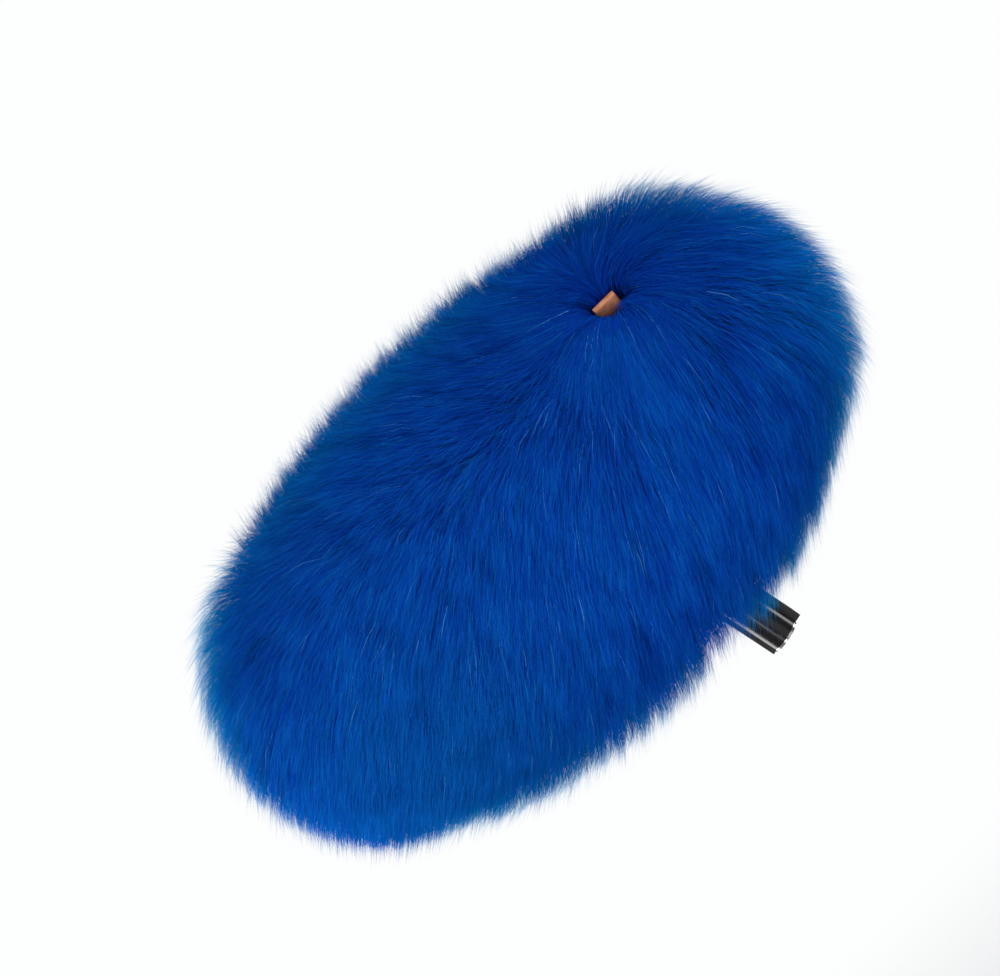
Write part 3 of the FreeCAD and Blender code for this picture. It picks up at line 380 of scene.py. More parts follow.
def leather(name):
    """Smooth tan leather with pores, and broad noise from darker brown to a rosy tone."""
    look = new_material(name)
    nodes, links = look.node_tree.nodes, look.node_tree.links
    shader = nodes["Principled BSDF"]
    shader.inputs["Specular IOR Level"].default_value = 0.35
    where = nodes.new("ShaderNodeTexCoord")
    broad = nodes.new("ShaderNodeTexNoise")
    broad.inputs["Scale"].default_value = 160.0
    broad.inputs["Detail"].default_value = 4.0
    pores = nodes.new("ShaderNodeTexVoronoi")
    pores.inputs["Scale"].default_value = 1500.0
    for node in (broad, pores):
        links.new(where.outputs["Object"], node.inputs["Vector"])
    colour = ramp(nodes, (0.35, (0.40, 0.135, 0.045)), (0.68, (0.68, 0.31, 0.19)))
    links.new(broad.outputs["Fac"], colour.inputs["Fac"])
    links.new(colour.outputs["Color"], shader.inputs["Base Color"])
    gloss = ramp(nodes, (0.2, (0.42,) * 3), (0.8, (0.62,) * 3))
    links.new(broad.outputs["Fac"], gloss.inputs["Fac"])
    links.new(gloss.outputs["Color"], shader.inputs["Roughness"])
    relief = nodes.new("ShaderNodeBump")
    relief.inputs["Strength"].default_value = 0.35
    relief.inputs["Distance"].default_value = 0.0002
    links.new(pores.outputs["Distance"], relief.inputs["Height"])
    links.new(relief.outputs["Normal"], shader.inputs["Normal"])
    return look


# ---- pile coordinates -----------------------------------------------------------------------
# Points are (n, 3) arrays in millimetres from the basket's middle. Every point belongs to a foot
# on the basket's axis, a unit direction away from it, and a distance along that direction.

END_MIDDLE = HALF_LENGTH - END_R
RISE = PILE_R - END_R
DROP = (END_MIDDLE ** 2 - RISE ** 2) / (2 * RISE)
SIDE_R = PILE_R + DROP
SIDE_END = SIDE_R * END_MIDDLE / math.hypot(END_MIDDLE, DROP)


def oval_radius(x):
    """Radius of the pile's outer form at a place along the basket's axis."""
    x = np.abs(x)
    side = np.sqrt(SIDE_R ** 2 - np.minimum(x, SIDE_END) ** 2) - DROP
    end = np.sqrt(np.maximum(END_R ** 2 - (x - END_MIDDLE) ** 2, 0.0))
    return np.where(x < SIDE_END, side, end)


def end_table():
    """Distance from a dome's centre to the outer form, by the direction's lean along the axis."""
    leans = np.linspace(0.0, math.pi / 2, 181)
    low, high = np.zeros_like(leans), np.full_like(leans, 2 * PILE_R)
    for _ in range(50):
        middle = (low + high) / 2
        x = DOME_START + middle * np.sin(leans)
        inside = (x < HALF_LENGTH) & (middle * np.cos(leans) < oval_radius(np.minimum(x, HALF_LENGTH)))
        low, high = np.where(inside, middle, low), np.where(inside, high, middle)
    return leans, low


END_LEANS, END_REACH = end_table()


def unit(v):
    return v / np.maximum(np.linalg.norm(v, axis=-1, keepdims=True), 1e-9)


def feet(points):
    """Foot on the axis, direction away from it and distance."""
    foot = np.zeros_like(points)
    foot[:, 0] = np.clip(points[:, 0], -DOME_START, DOME_START)
    away = points - foot
    distance = np.linalg.norm(away, axis=1)
    return foot, away / np.maximum(distance, 1e-9)[:, None], distance


def reach(foot, away):
    """Distance from the foot to the pile's outer form."""
    lean = np.arcsin(np.clip(np.abs(away[:, 0]), 0.0, 1.0))
    on_dome = np.abs(foot[:, 0]) > DOME_START - 1e-6
    return np.where(on_dome, np.interp(lean, END_LEANS, END_REACH), oval_radius(foot[:, 0]))


def smooth(low, high, value):
    """A soft step from 0 at low to 1 at high."""
    t = np.clip((value - low) / (high - low), 0.0, 1.0)
    return t * t * (3 - 2 * t)


def round_angle(points):
    """Angle round the axis: 0 on top, positive towards the connector side."""
    return np.arctan2(-points[:, 1], points[:, 2])


# ---- comb: which way the hair lies -----------------------------------------------------------
# Hair radiates from the leather tab. COMB gives, for a bearing seen from the tab in the level
# view along +Y with the basket pointing up to the right, the bearing in which the hair lies.

COMB = [
    (30, 8), (45, 22), (60, 50), (90, 85), (120, 118), (150, 160), (170, 186), (185, 192),
    (200, 197), (207, 202), (213, 207), (218, 221), (222, 243), (226, 256), (232, 262),
    (240, 264), (256, 270), (270, 278), (285, 288), (295, 292), (312, 294), (330, 303),
    (345, 313), (358, 322), (377, 362), (390, 368),
]
COMB_FROM = np.radians([pair[0] for pair in COMB])
COMB_TO = np.unwrap(np.radians([pair[1] for pair in COMB]))
WHORL_TURN = SEAM_TURN + 0.05
WHORL = np.array([TAB_X - 1.0, oval_radius(TAB_X) * math.cos(WHORL_TURN + ELEVATION)])
WHORL_REACH = (12.0, 55.0)
HOLLOW_REACH = 11.0
HOLLOW_LEFT = 0.90
MIRROR = np.array([1.0, -1.0, 1.0])
SIDE_BLEND = 16.0
RIDGE_LEAN = np.array([0.35, 0.0, 0.94])


def comb_side(points):
    """The lie of the hair on the connector's side."""
    along = points[:, 0] - WHORL[0]
    across = points @ LEVEL_UP - WHORL[1]
    level = np.stack([along * math.cos(ROLL) - across * math.sin(ROLL),
                      along * math.sin(ROLL) + across * math.cos(ROLL)], axis=1)
    bearing = np.mod(np.arctan2(level[:, 1], level[:, 0]) - COMB_FROM[0], 2 * math.pi) + COMB_FROM[0]
    lie = np.interp(bearing, COMB_FROM, COMB_TO)
    distance = np.linalg.norm(level, axis=1)
    # Hair hangs straighter down the further it is below and to the right of the tab.
    hang = smooth(85.0, 150.0, distance) * smooth(math.radians(284), math.radians(302), bearing)
    hang = hang * (1 - smooth(math.radians(334), math.radians(352), bearing))
    lie = lie + (math.radians(274) - lie) * 0.85 * hang
    return np.cos(lie)[:, None] * RIGHT + np.sin(lie)[:, None] * UP


def comb_direction(points):
    """The lie of the hair for points on the outer form, as directions that may lean outwards."""
    far = smooth(-SIDE_BLEND, SIDE_BLEND, points[:, 1])[:, None]
    direction = comb_side(points) * (1 - far) + comb_side(points * MIRROR) * MIRROR * far
    # The ridge on top stands up and leans towards the nose.
    off_ridge = np.abs(round_angle(points) + math.radians(9))
    ridge = 1 - smooth(math.radians(3), math.radians(32), off_ridge)
    ridge = ridge * (1 - smooth(120.0, 170.0, points[:, 0])) * smooth(-180.0, -90.0, points[:, 0])
    direction = direction * (1 - ridge)[:, None] + RIDGE_LEAN * ridge[:, None]
    return unit(direction)


def hollow(points):
    """Share of the pile's height that is left round the tab, 1 away from it."""
    foot, away, _ = feet(points)
    angle = round_angle(away)
    gap_x = points[:, 0] - TAB_X
    gap_round = (angle - WHORL_TURN) * PILE_R
    distance = np.hypot(gap_x, gap_round) / HOLLOW_REACH
    return HOLLOW_LEFT + (1 - HOLLOW_LEFT) * smooth(0.15, 1.0, distance)


def beside_tab(roots):
    """1 for hair rooted beside the tab, which stands up first and then bends over, 0 far from it."""
    _, away, _ = feet(roots)
    gap_x = roots[:, 0] - WHORL[0]
    gap_round = (round_angle(away) - WHORL_TURN) * PILE_R
    return 1 - smooth(*WHORL_REACH, np.hypot(gap_x, gap_round))


def fullness(points):
    """The pile is fuller below the basket, over the nose and at the back of the ridge."""
    angle = round_angle(points)
    off_middle = np.abs(points[:, 0])
    below = smooth(math.radians(70), math.radians(125), np.abs(angle)) * (1 - smooth(90.0, 150.0, off_middle))
    ridge = 1 - smooth(math.radians(25), math.radians(75), np.abs(angle + math.radians(7)))
    front = np.exp(-((points[:, 0] - 150.0) / 30.0) ** 2)
    rear = np.exp(-((points[:, 0] + 155.0) / 40.0) ** 2)
    throat = np.exp(-((points[:, 0] - 150.0) / 40.0) ** 2)
    throat = throat * smooth(math.radians(60), math.radians(110), np.abs(angle))
    ends = smooth(120.0, 200.0, off_middle)
    return 1.05 + 0.10 * below + ridge * (0.19 * front + 0.17 * rear) - 0.09 * throat - 0.06 * ends


def parting(points):
    """A shallow dip along the upper seam, from the tab to the tail."""
    angle = round_angle(points)
    along = smooth(-190.0, -120.0, points[:, 0]) * (1 - smooth(70.0, 100.0, points[:, 0]))
    off = (angle - math.radians(50.0)) * PILE_R / 16.0
    return 1 - 0.05 * along * np.exp(-off ** 2)


# ---- strands ----------------------------------------------------------------------------------

STEPS = 5
STRANDS = 180000
TAB_STRANDS = 8000
UNDERCOAT = 28000
UNDERCOAT_LIFT = 0.93
LIE_LENGTH = 36.0
FLY_SHARE = 0.45
CLUMP = 7.0
CLUMP_PULL = 0.22
TUFT, TUFT_SHIFT = 2.6, 3.1
STRANDS_A_PIECE = 21000
rng = np.random.default_rng(7)


def sow(count, low, high):
    """Roots spread evenly over the backing between two places along the axis."""
    x = rng.uniform(low, high, count)
    turn = rng.uniform(-math.pi, math.pi, count)
    dome = np.maximum(np.abs(x) - DOME_START, 0.0)
    radius = np.sqrt(np.maximum(BACKING_OUT ** 2 - dome ** 2, 0.0))
    return np.stack([x, -radius * np.sin(turn), radius * np.cos(turn)], axis=1)


def sow_near_tab(count):
    """More roots round the tab, where the hair parts on every side."""
    around, out = rng.uniform(0.0, 2 * math.pi, count), 22.0 * rng.random(count) ** 0.9
    x = TAB_X - 4.0 + out * np.cos(around)
    turn = WHORL_TURN + out * np.sin(around) / BACKING_OUT
    dome = np.maximum(np.abs(x) - DOME_START, 0.0)
    radius = np.sqrt(np.maximum(BACKING_OUT ** 2 - dome ** 2, 0.0))
    return np.stack([x, -radius * np.sin(turn), radius * np.cos(turn)], axis=1)


def free_of_openings(roots):
    """Roots that stand on backing: not over the zip, the stem opening or the tab's slot."""
    x, y, z = roots.T
    below, above = z < 0, z > 0
    zip_gap = below & (np.abs(y) < ZIP_HALF) & (x > -CAP_JOINT - JOINT_GAP) & (x < PIVOT_X)
    opening = below & (np.abs(y) < OPENING_HALF_WIDTH) & (np.abs(x - PIVOT_X) < OPENING_HALF_LENGTH)
    tangent = y * math.cos(SEAM_TURN) + z * math.sin(SEAM_TURN)
    slot = above & (np.abs(tangent) < TAB_SLOT_HALF) & (np.abs(x - TAB_X) < TAB_HALF + 1.0)
    return ~(zip_gap | opening | slot)


def clumps(roots, spacing):
    """For each root, the number of the clump centre nearest to it, by a jittered grid."""
    _, away, _ = feet(roots)
    turn = round_angle(away) * BACKING_OUT
    row = np.floor(roots[:, 0] / spacing)
    column = np.floor(turn / spacing)
    best = np.zeros(len(roots), dtype=np.int64)
    best_gap = np.full(len(roots), 1e9)
    for step_row in (-1, 0, 1):
        for step_column in (-1, 0, 1):
            a, b = row + step_row, column + step_column
            key = (a * 92821 + b * 68917).astype(np.int64)
            jitter = np.stack([np.mod(np.sin(key * 12.9898) * 43758.5453, 1.0),
                               np.mod(np.sin(key * 78.233) * 24634.6345, 1.0)], axis=1)
            gap = np.hypot(roots[:, 0] - (a + jitter[:, 0]) * spacing, turn - (b + jitter[:, 1]) * spacing)
            closer = gap < best_gap
            best_gap = np.where(closer, gap, best_gap)
            best = np.where(closer, key, best)
    return best


def noise_of(keys, salt):
    """A repeatable number from 0 to 1 for each key."""
    return np.mod(np.abs(np.sin(keys * 0.137 + salt * 17.23) * 51713.113), 1.0)


def grow(roots, lift, fly_share):
    """Paths of strands: (n, STEPS + 1, 3), from the backing up and over along the comb."""
    count = len(roots)
    clump = clumps(roots, CLUMP)
    sub = clumps(roots + TUFT_SHIFT, TUFT)
    tallness = 0.94 + 0.06 * noise_of(clump, 1) - 0.12 * rng.random(count) ** 3
    tallness = tallness * lift
    length = LIE_LENGTH * (0.8 + 0.25 * noise_of(clump, 2) + 0.2 * rng.random(count))
    near = beside_tab(roots)
    sway = (noise_of(clump, 3) - 0.5) * 0.26 + (noise_of(sub, 4) - 0.5) * 0.26 + rng.normal(0, 0.15, count)
    flying = rng.random(count) < fly_share
    fly_out = np.where(flying, 1.0 + rng.random(count) ** 2.0 * 9.0, 0.0)

    foot, away, _ = feet(roots)
    surface = foot + away * reach(foot, away)[:, None]
    travelled = np.zeros(count)
    path = [roots.copy()]
    for step in range(1, STEPS + 1):
        t = step / STEPS
        want = length * t ** (1.6 + 2.4 * near)
        for _ in range(2):
            move = (want - travelled) / 2
            foot, away, _ = feet(surface)
            lie = comb_direction(surface)
            outward = np.sum(lie * away, axis=1, keepdims=True)
            tangent = lie - outward * away
            side = np.cross(away, tangent)
            tangent = tangent * np.cos(sway)[:, None] + side * np.sin(sway)[:, None]
            surface = surface + tangent * move[:, None]
            foot, away, _ = feet(surface)
            surface = foot + away * reach(foot, away)[:, None]
        travelled = want
        full = reach(foot, away) - BACKING_OUT
        height = 1 - (1 - t) ** (1.7 + 2.3 * near)
        left = hollow(surface) * parting(surface) * fullness(surface)
        distance = BACKING_OUT + full * tallness * height * left
        point = foot + away * distance[:, None]
        stray = fly_out * max(0.0, (t - 0.55) / 0.45) ** 1.4
        point = point + (away * 0.75 + lie * 0.55) * stray[:, None]
        path.append(point)
    path = np.stack(path, axis=1)
    return path, clump, flying


def settle_clumps(path, clump, pull):
    """Draw the outer part of each strand towards the middle of its clump."""
    order, index = np.unique(clump, return_inverse=True)
    weight = np.linspace(0.0, 1.0, path.shape[1]) ** 2 * pull
    counts = np.bincount(index, minlength=len(order)).astype(float)
    centre = np.zeros((len(order), path.shape[1], 3))
    for axis in range(3):
        for step in range(path.shape[1]):
            total = np.bincount(index, weights=path[:, step, axis], minlength=len(order))
            centre[:, step, axis] = total / counts
    return path + (centre[index] - path) * weight[None, :, None]


def strand_mesh(name, path, root_width, shade):
    """Flat tapered ribbons along the paths. shade is (n, STEPS) material numbers."""
    count, points = path.shape[0], path.shape[1]
    along = np.empty_like(path)
    along[:, 1:-1] = path[:, 2:] - path[:, :-2]
    along[:, 0] = path[:, 1] - path[:, 0]
    along[:, -1] = path[:, -1] - path[:, -2]
    along = unit(along)
    flat = path.reshape(-1, 3)
    _, away, _ = feet(flat)
    away = away.reshape(path.shape)
    facing = away - np.sum(away * along, axis=2, keepdims=True) * along
    loose = rng.normal(0, 1, (count, 1, 3))
    loose = loose - np.sum(loose * along, axis=2, keepdims=True) * along
    facing = unit(facing + 0.15 * unit(loose))
    twist = rng.uniform(-0.7, 0.7, count)[:, None, None]
    side = np.cross(along, facing)
    across = unit(side * np.cos(twist) + facing * np.sin(twist))
    taper = 1 - (np.arange(points - 1) / (points - 1)) ** 3.5
    half = 0.5 * root_width[:, None, None] * taper[None, :, None]
    body = path[:, :-1]
    vertices = np.empty((count, 2 * (points - 1) + 1, 3))
    vertices[:, 0:-1:2] = body - across[:, :-1] * half
    vertices[:, 1:-1:2] = body + across[:, :-1] * half
    vertices[:, -1] = path[:, -1]
    normals = np.empty_like(vertices)
    shading = unit(0.6 * away + 0.4 * facing)
    normals[:, 0:-1:2] = shading[:, :-1]
    normals[:, 1:-1:2] = shading[:, :-1]
    normals[:, -1] = shading[:, -1]
    per = vertices.shape[1]
    quads = np.array([[2 * k, 2 * k + 1, 2 * k + 3, 2 * k + 2] for k in range(points - 2)])
    corner_list = np.concatenate([quads.reshape(-1), [per - 3, per - 2, per - 1]])
    corners = (np.arange(count)[:, None] * per + corner_list[None, :]).reshape(-1)
    sizes = np.tile([4] * (points - 2) + [3], count)
    starts = np.concatenate([[0], np.cumsum(sizes)[:-1]])
    mesh = bpy.data.meshes.new(name)
    mesh.vertices.add(count * per)
    mesh.vertices.foreach_set("co", ((vertices * MM + MIDDLE).reshape(-1)).astype(np.float32))
    mesh.loops.add(len(corners))
    mesh.loops.foreach_set("vertex_index", corners.astype(np.int32))
    mesh.polygons.add(len(sizes))
    mesh.polygons.foreach_set("loop_start", starts.astype(np.int32))
    mesh.polygons.foreach_set("material_index", shade.reshape(-1).astype(np.int32))
    mesh.update(calc_edges=True)
    mesh.polygons.foreach_set("use_smooth", np.ones(len(sizes), dtype=bool))
    for look in HAIR:
        mesh.materials.append(look)
    mesh.normals_split_custom_set_from_vertices(normals.reshape(-1, 3).astype(np.float32))
    piece = bpy.data.objects.new(name, mesh)
    bpy.context.scene.collection.objects.link(piece)
    return piece


# Painted shade and painted light: patches where the hair is darker, as painted shade, or lighter and more
# teal, as painted light: place along the axis, place across it, half length, half width, tone and share of
# teal hair.
SHADE_AND_LIGHT_PATCHES = [
    (90.0, 88.0, 85.0, 36.0, -1.5, -0.1),
    (150.0, 45.0, 45.0, 45.0, -0.9, -0.1),
    (95.0, 5.0, 60.0, 40.0, -0.5, 0.0),
    (20.0, -103.0, 110.0, 26.0, -1.4, 0.0),
    (130.0, -70.0, 45.0, 35.0, -0.9, 0.0),
    (-130.0, -60.0, 75.0, 75.0, -0.6, 0.8),
    (188.0, -22.0, 38.0, 38.0, 0.9, 0.5),
]


def shades_for(path, clump, flying):
    """Darker at the root and lighter at the tip, as painted shade deep in the pile, with a lot of variety
    from strand to strand.
    """
    count = path.shape[0]
    mid = path[:, -2]
    t = (np.arange(STEPS) + 0.5) / STEPS
    # Painted shade: every strand is darker towards its root, deep in the pile.
    base = 2.9 + 2.9 * t[None, :]
    tone = (noise_of(clump, 5) - 0.5) * 0.9 + rng.normal(0, 0.3, count)
    # Darker round the tab's hollow: painted shade in the recess.
    tone = tone - 0.3 * (1 - hollow(mid)) / (1 - HOLLOW_LEFT)
    weights = np.zeros((count, len(SHADE_AND_LIGHT_PATCHES)))
    place_in = np.stack([mid[:, 0], mid @ LEVEL_UP], axis=1)
    for number, (along, across, half_length, half_width, _, _) in enumerate(SHADE_AND_LIGHT_PATCHES):
        gap = np.hypot((place_in[:, 0] - along) / half_length, (place_in[:, 1] - across) / half_width)
        weights[:, number] = np.exp(-gap ** 2)
    # Painted shade and painted light from the patches: tone goes down where shade falls and up where light
    # falls.
    tone = tone + weights @ np.array([patch[4] for patch in SHADE_AND_LIGHT_PATCHES])
    # Teal hair at random, and more of it in the patches as painted light.
    teal = 0.22 + weights @ np.array([patch[5] for patch in SHADE_AND_LIGHT_PATCHES])
    # Flying strands one step lighter: painted light on the loose fringe.
    level = base + tone[:, None] + np.where(flying, 0.4, 0.0)[:, None]
    shade = np.clip(np.floor(level + rng.random((count, 1))), 0, TEAL - 1)
    shade = shade + np.where(rng.random(count) < teal, TEAL, 0)[:, None]
    # Some flying tips turn lighter and teal: painted backlight shining through the fringe.
    backlit_tips = np.clip(shade[:, -1] % TEAL + TEAL + 1, TEAL, 2 * TEAL - 1)
    shade[:, -1] = np.where(flying & (rng.random(count) < 0.3), backlit_tips, shade[:, -1])
    glint = rng.random(count) < 0.003
    shade[glint, STEPS - 2:] = GLINT
    return shade


# The space that the stem swings in, and the stem's housing, from the pivot: their ends measured
# down from it, half lengths along the basket, and reach to the connector's side and the other side.
SWING_TOP = 12.0
SWING_START = 4.0
SWING_END = 58.0
SWING_HALF_MOUTH = 46.0
SWING_FRONT, SWING_BACK = 34.0, 29.0
HOUSING_TOP = -13.0
HOUSING_END = 75.0
HOUSING_HALF = 14.5
HOUSING_FRONT, HOUSING_BACK = 32.5, 27.0


def in_stem_space(path):
    """Strands that pass through the space in which the stem swings, or through the stem."""
    x, y, z = path[..., 0] - PIVOT_X, path[..., 1], path[..., 2] + PIVOT_DROP
    widening = (SWING_HALF_MOUTH - OPENING_HALF_LENGTH) / (SWING_END - SWING_START)
    half = OPENING_HALF_LENGTH + np.maximum(-z - SWING_START, 0.0) * widening
    hit = (z < SWING_TOP) & (np.abs(x) < half) & (y > -SWING_FRONT) & (y < SWING_BACK)
    return hit.any(axis=1)


def in_housing(path):
    """Strands that enter the stem's housing or connector, which lean as at rest."""
    x, y, z = path[..., 0] - PIVOT_X, path[..., 1], path[..., 2] + PIVOT_DROP
    down = -z * math.cos(STEM_LEAN) + x * math.sin(STEM_LEAN)
    off = x * math.cos(STEM_LEAN) + z * math.sin(STEM_LEAN)
    hit = (down > HOUSING_TOP) & (down < HOUSING_END) & (np.abs(off) < HOUSING_HALF)
    hit = hit & (y > -HOUSING_FRONT) & (y < HOUSING_BACK)
    return hit.any(axis=1)


def in_tab_view(path):
    """Strands in front of the tab's end, as seen from the camera."""
    steps = [path[:, :-1] + (path[:, 1:] - path[:, :-1]) * share for share in (0.0, 0.33, 0.67, 1.0)]
    fine = np.concatenate(steps, axis=1)
    x = fine[..., 0]
    up = fine @ LEVEL_UP
    top = TAB_TOP * math.cos(SEAM_TURN + ELEVATION)
    hit = (np.abs(x - TAB_X) < TAB_HALF + 0.4) & (up > top - TAB_SHOWN) & (up < top + 2.0)
    hit = hit & (round_angle(fine.reshape(-1, 3)).reshape(x.shape) > SEAM_TURN + 0.02) & (fine @ TOWARD > 0.0)
    return hit.any(axis=1)


HAIR = []


def make_fur():
    HAIR.extend(hair_materials())
    amount = 1.0
    density = STRANDS * amount / (2 * (DOME_START + BACKING_OUT))
    front, back = DOME_START + BACKING_OUT, -DOME_START - BACKING_OUT
    regions = [("tail", back, -CAP_JOINT - JOINT_GAP, "rear_cap"),
               ("sleeve", -CAP_JOINT, NOSE_SEAM, "windshield"),
               ("nose", NOSE_SEAM, front, "windshield")]
    for region, low, high, body in regions:
        roots = sow(int(density * (high - low)), low, high)
        if region == "sleeve":
            extra = sow_near_tab(int(TAB_STRANDS * amount))
            roots = np.concatenate([roots, extra[extra[:, 0] < high]])
        roots = roots[free_of_openings(roots)]
        path, clump, flying = grow(roots, 1.0, FLY_SHARE)
        path = settle_clumps(path, clump, CLUMP_PULL)
        width = rng.uniform(0.17, 0.30, len(path))
        shade = shades_for(path, clump, flying)
        # A short, wide undercoat that closes the pile behind the long hair.
        under = sow(int(UNDERCOAT * amount * (high - low) / (front - back)), low, high)
        under = under[free_of_openings(under)]
        short, tuft, still = grow(under, UNDERCOAT_LIFT, 0.0)
        path = np.concatenate([path, short])
        width = np.concatenate([width, rng.uniform(0.5, 0.8, len(short))])
        # The undercoat mostly wears one shade darker: painted shade under the long hair.
        shade = np.concatenate([shade, np.maximum(shades_for(short, tuft, still) - 1, 0)])
        keep = ~in_tab_view(path)
        swing = in_stem_space(path)
        if region == "sleeve":
            around = keep & swing & ~in_housing(path)
            piece = strand_mesh("fur_stem", path[around], width[around], shade[around])
            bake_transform(piece)
        keep = keep & ~swing
        path, width, shade = path[keep], width[keep], shade[keep]
        groups = max(1, math.ceil(len(path) / STRANDS_A_PIECE))
        for number in range(groups):
            part = slice(number, None, groups)
            piece = strand_mesh(f"fur_{region}_{number}", path[part], width[part], shade[part])
            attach(piece, body)


# ---- knitted backing ----------------------------------------------------------------------------

STEP_ALONG = 6.0
STEP_ROUND = 0.09
STEP_LEAN = 0.12
SEAM_PART = 0.003


def backing_point(x, turn, radius):
    dome = max(abs(x) - DOME_START, 0.0)
    ring = math.sqrt(max(radius ** 2 - dome ** 2, 0.0))
    return (x, -ring * math.sin(turn), ring * math.cos(turn))


def shell_mesh(name, stations, turns, closed_round, skip=None):
    """A closed shell 1.8 mm thick over a grid of places along the axis and angles round it."""
    form = bmesh.new()
    layers = []
    for radius in (BACKING_IN, BACKING_OUT):
        layer = []
        for x, outer_x in stations:
            at = outer_x if radius == BACKING_OUT else x
            layer.append([form.verts.new(backing_point(at, turn, radius)) for turn in turns])
        layers.append(layer)
    rows, columns = len(stations), len(turns)
    spans = range(columns if closed_round else columns - 1)
    inner, outer = layers

    def covered(row, column):
        return 0 <= row < rows - 1 and (closed_round or 0 <= column < columns - 1) and not (
            skip and skip(row, column % columns))

    for row in range(rows - 1):
        for column in spans:
            if not covered(row, column):
                continue
            after = (column + 1) % columns
            square = ((row, column), (row, after), (row + 1, after), (row + 1, column))
            form.faces.new([outer[r][c] for r, c in square])
            form.faces.new([inner[r][c] for r, c in square[::-1]])
            edges = [((row - 1, column), (row, column), (row, after)),
                     ((row + 1, column), (row + 1, after), (row + 1, column)),
                     ((row, column - 1), (row + 1, column), (row, column)),
                     ((row, column + 1), (row, after), (row + 1, after))]
            for beside, a, b in edges:
                if not covered(*beside):
                    low_edge = (inner[a[0]][a[1]], inner[b[0]][b[1]])
                    form.faces.new((*low_edge, outer[b[0]][b[1]], outer[a[0]][a[1]]))
    loose = [vertex for vertex in form.verts if not vertex.link_faces]
    bmesh.ops.delete(form, geom=loose, context="VERTS")
    bmesh.ops.remove_doubles(form, verts=form.verts, dist=0.001)
    bmesh.ops.recalc_face_normals(form, faces=form.faces)
    for vertex in form.verts:
        vertex.co = vertex.co * MM + Vector(MIDDLE)
    for face in form.faces:
        face.smooth = True
    mesh = bpy.data.meshes.new(name)
    form.to_mesh(mesh)
    form.free()
    piece = bpy.data.objects.new(name, mesh)
    bpy.context.scene.collection.objects.link(piece)
    return piece


def spread(low, high, step):
    count = max(1, round((high - low) / step))
    return [low + (high - low) * k / count for k in range(count + 1)]


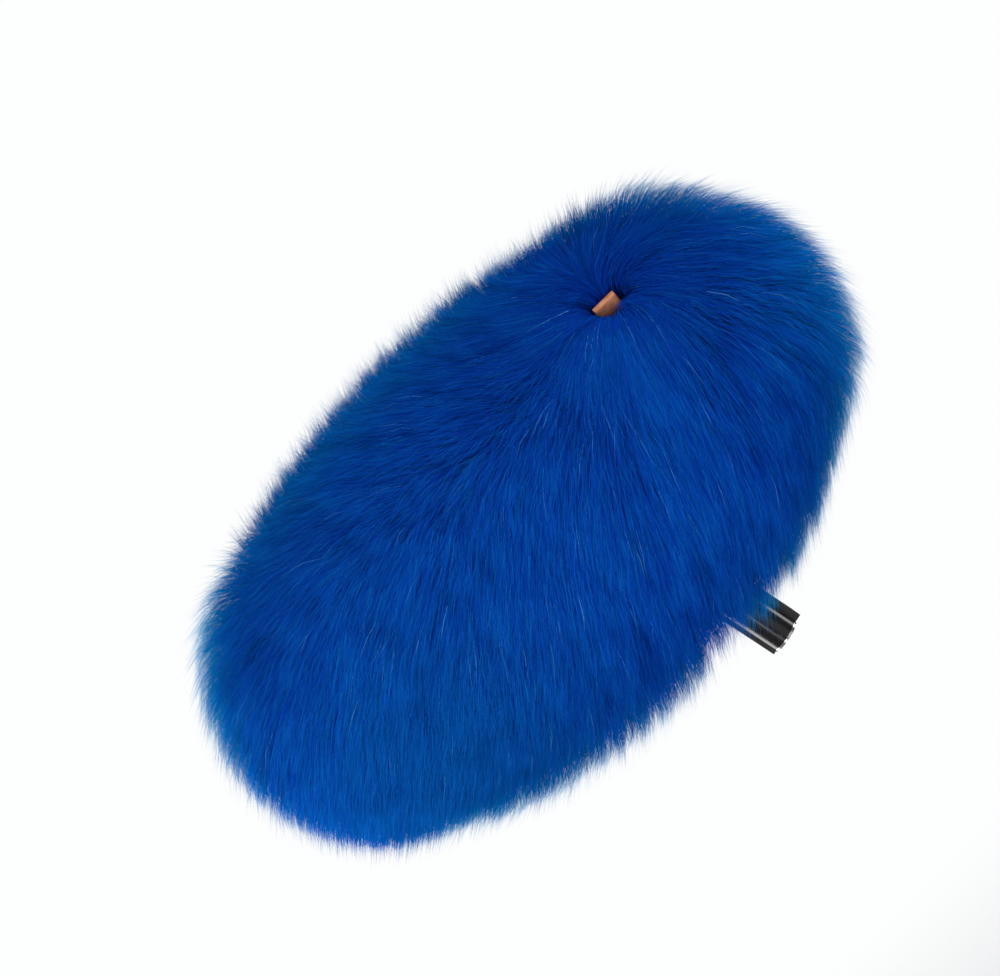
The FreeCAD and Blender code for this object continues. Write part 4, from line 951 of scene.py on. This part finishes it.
def make_backing(looks):
    def sewn(piece, node, body):
        piece.data.materials.append(looks["blue_fur"])
        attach(piece, body)
        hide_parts(node)

    joint, seam = CAP_JOINT, NOSE_SEAM
    opening_low, opening_high = PIVOT_X - OPENING_HALF_LENGTH, PIVOT_X + OPENING_HALF_LENGTH
    xs = spread(-joint, opening_low, STEP_ALONG) + spread(opening_low, opening_high, STEP_ALONG)[1:]
    xs = xs + spread(opening_high, DOME_START, STEP_ALONG)[1:] + [seam]
    zip_turn = ZIP_HALF / BACKING_OUT
    gap_turn = OPENING_HALF_WIDTH / BACKING_OUT
    lower = math.pi - zip_turn
    near = spread(SEAM_TURN + SEAM_PART, math.pi - gap_turn, STEP_ROUND) + [lower, math.pi]
    far = [-math.pi, -lower] + spread(-math.pi + gap_turn, SEAM_TURN - SEAM_PART, STEP_ROUND)

    def hole_near(row, column):
        x = (xs[row] + xs[row + 1]) / 2
        turn = (near[column] + near[column + 1]) / 2
        return (turn > lower and x < opening_high) or (
            turn > math.pi - gap_turn and abs(x - PIVOT_X) < OPENING_HALF_LENGTH)

    def hole_far(row, column):
        x = (xs[row] + xs[row + 1]) / 2
        turn = (far[column] + far[column + 1]) / 2
        return (turn < -lower and x < opening_high) or (
            turn < -math.pi + gap_turn and abs(x - PIVOT_X) < OPENING_HALF_LENGTH)

    stations = [(x, x) for x in xs]
    sewn(shell_mesh("backing_right", stations, near, False, hole_near), "fur_panel_right", "windshield")
    sewn(shell_mesh("backing_left", stations, far, False, hole_far), "fur_panel_left", "windshield")
    around = [2 * math.pi * k / 64 for k in range(64)]

    def dome_stations(start, sign):
        leans = spread(0.0, math.pi / 2, STEP_LEAN)
        first = math.asin(max(0.0, (start - DOME_START) / BACKING_OUT))
        rows = [] if start >= DOME_START else [(start, start)]
        rows += [(DOME_START + BACKING_IN * math.sin(lean), DOME_START + BACKING_OUT * math.sin(lean))
                 for lean in leans if lean >= first - 1e-6]
        return [(sign * a, sign * b) for a, b in rows]

    nose = dome_stations(seam + SEAM_GAP, 1)
    tail = dome_stations(joint + JOINT_GAP, -1)
    sewn(shell_mesh("backing_nose", nose, around, True), "fur_panel_nose", "windshield")
    sewn(shell_mesh("backing_tail", tail, around, True), "fur_panel_tail", "rear_cap")


# ---- leather tab ------------------------------------------------------------------------------

def make_tab(looks):
    """A strip of leather folded into a loop, standing out of the seam."""
    thick, gap = 1.5, 0.2
    outer = thick + gap
    foot_r, crown = BACKING_IN + 0.2, TAB_TOP - outer
    outline = [(-outer, foot_r), (-outer, crown)]
    outline += [(outer * math.cos(math.pi - a), crown + outer * math.sin(a)) for a in
                (math.pi * k / 12 for k in range(1, 12))]
    outline += [(outer, crown), (outer, foot_r), (gap, foot_r), (gap, crown)]
    outline += [(gap * math.cos(a), crown + gap * math.sin(a)) for a in
                (math.pi * k / 4 for k in range(1, 4))]
    outline += [(-gap, crown), (-gap, foot_r)]
    form = bmesh.new()
    stations = spread(-TAB_HALF, TAB_HALF, 1.2)
    loops = []
    for x in stations:
        end = 1 - 0.04 * (abs(x) > TAB_HALF - 0.1)
        loops.append([form.verts.new((x + TAB_X, y * end, z)) for y, z in outline])
    size = len(outline)
    for a, b in zip(loops, loops[1:]):
        for k in range(size):
            form.faces.new((a[k], a[(k + 1) % size], b[(k + 1) % size], b[k]))
    form.faces.new(loops[0][::-1])
    form.faces.new(loops[-1])
    turn = SEAM_TURN
    for vertex in form.verts:
        x, y, z = vertex.co
        vertex.co = Vector((x, y * math.cos(turn) - z * math.sin(turn),
                            y * math.sin(turn) + z * math.cos(turn))) * MM + Vector(MIDDLE)
    bmesh.ops.recalc_face_normals(form, faces=form.faces)
    for face in form.faces:
        face.smooth = len(face.verts) == 4
    mesh = bpy.data.meshes.new("leather_tab")
    form.to_mesh(mesh)
    form.free()
    mesh.materials.append(looks["tan_leather"])
    piece = bpy.data.objects.new("leather_tab", mesh)
    bpy.context.scene.collection.objects.link(piece)
    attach(piece, "windshield")
    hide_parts("pull_tab")


# ---- the scene ---------------------------------------------------------------------------------

make_camera()
make_stage()
LOOKS = dress_nodes()
make_backing(LOOKS)
make_tab(LOOKS)
make_fur()
bpy.context.scene.view_settings.view_transform = "Standard"
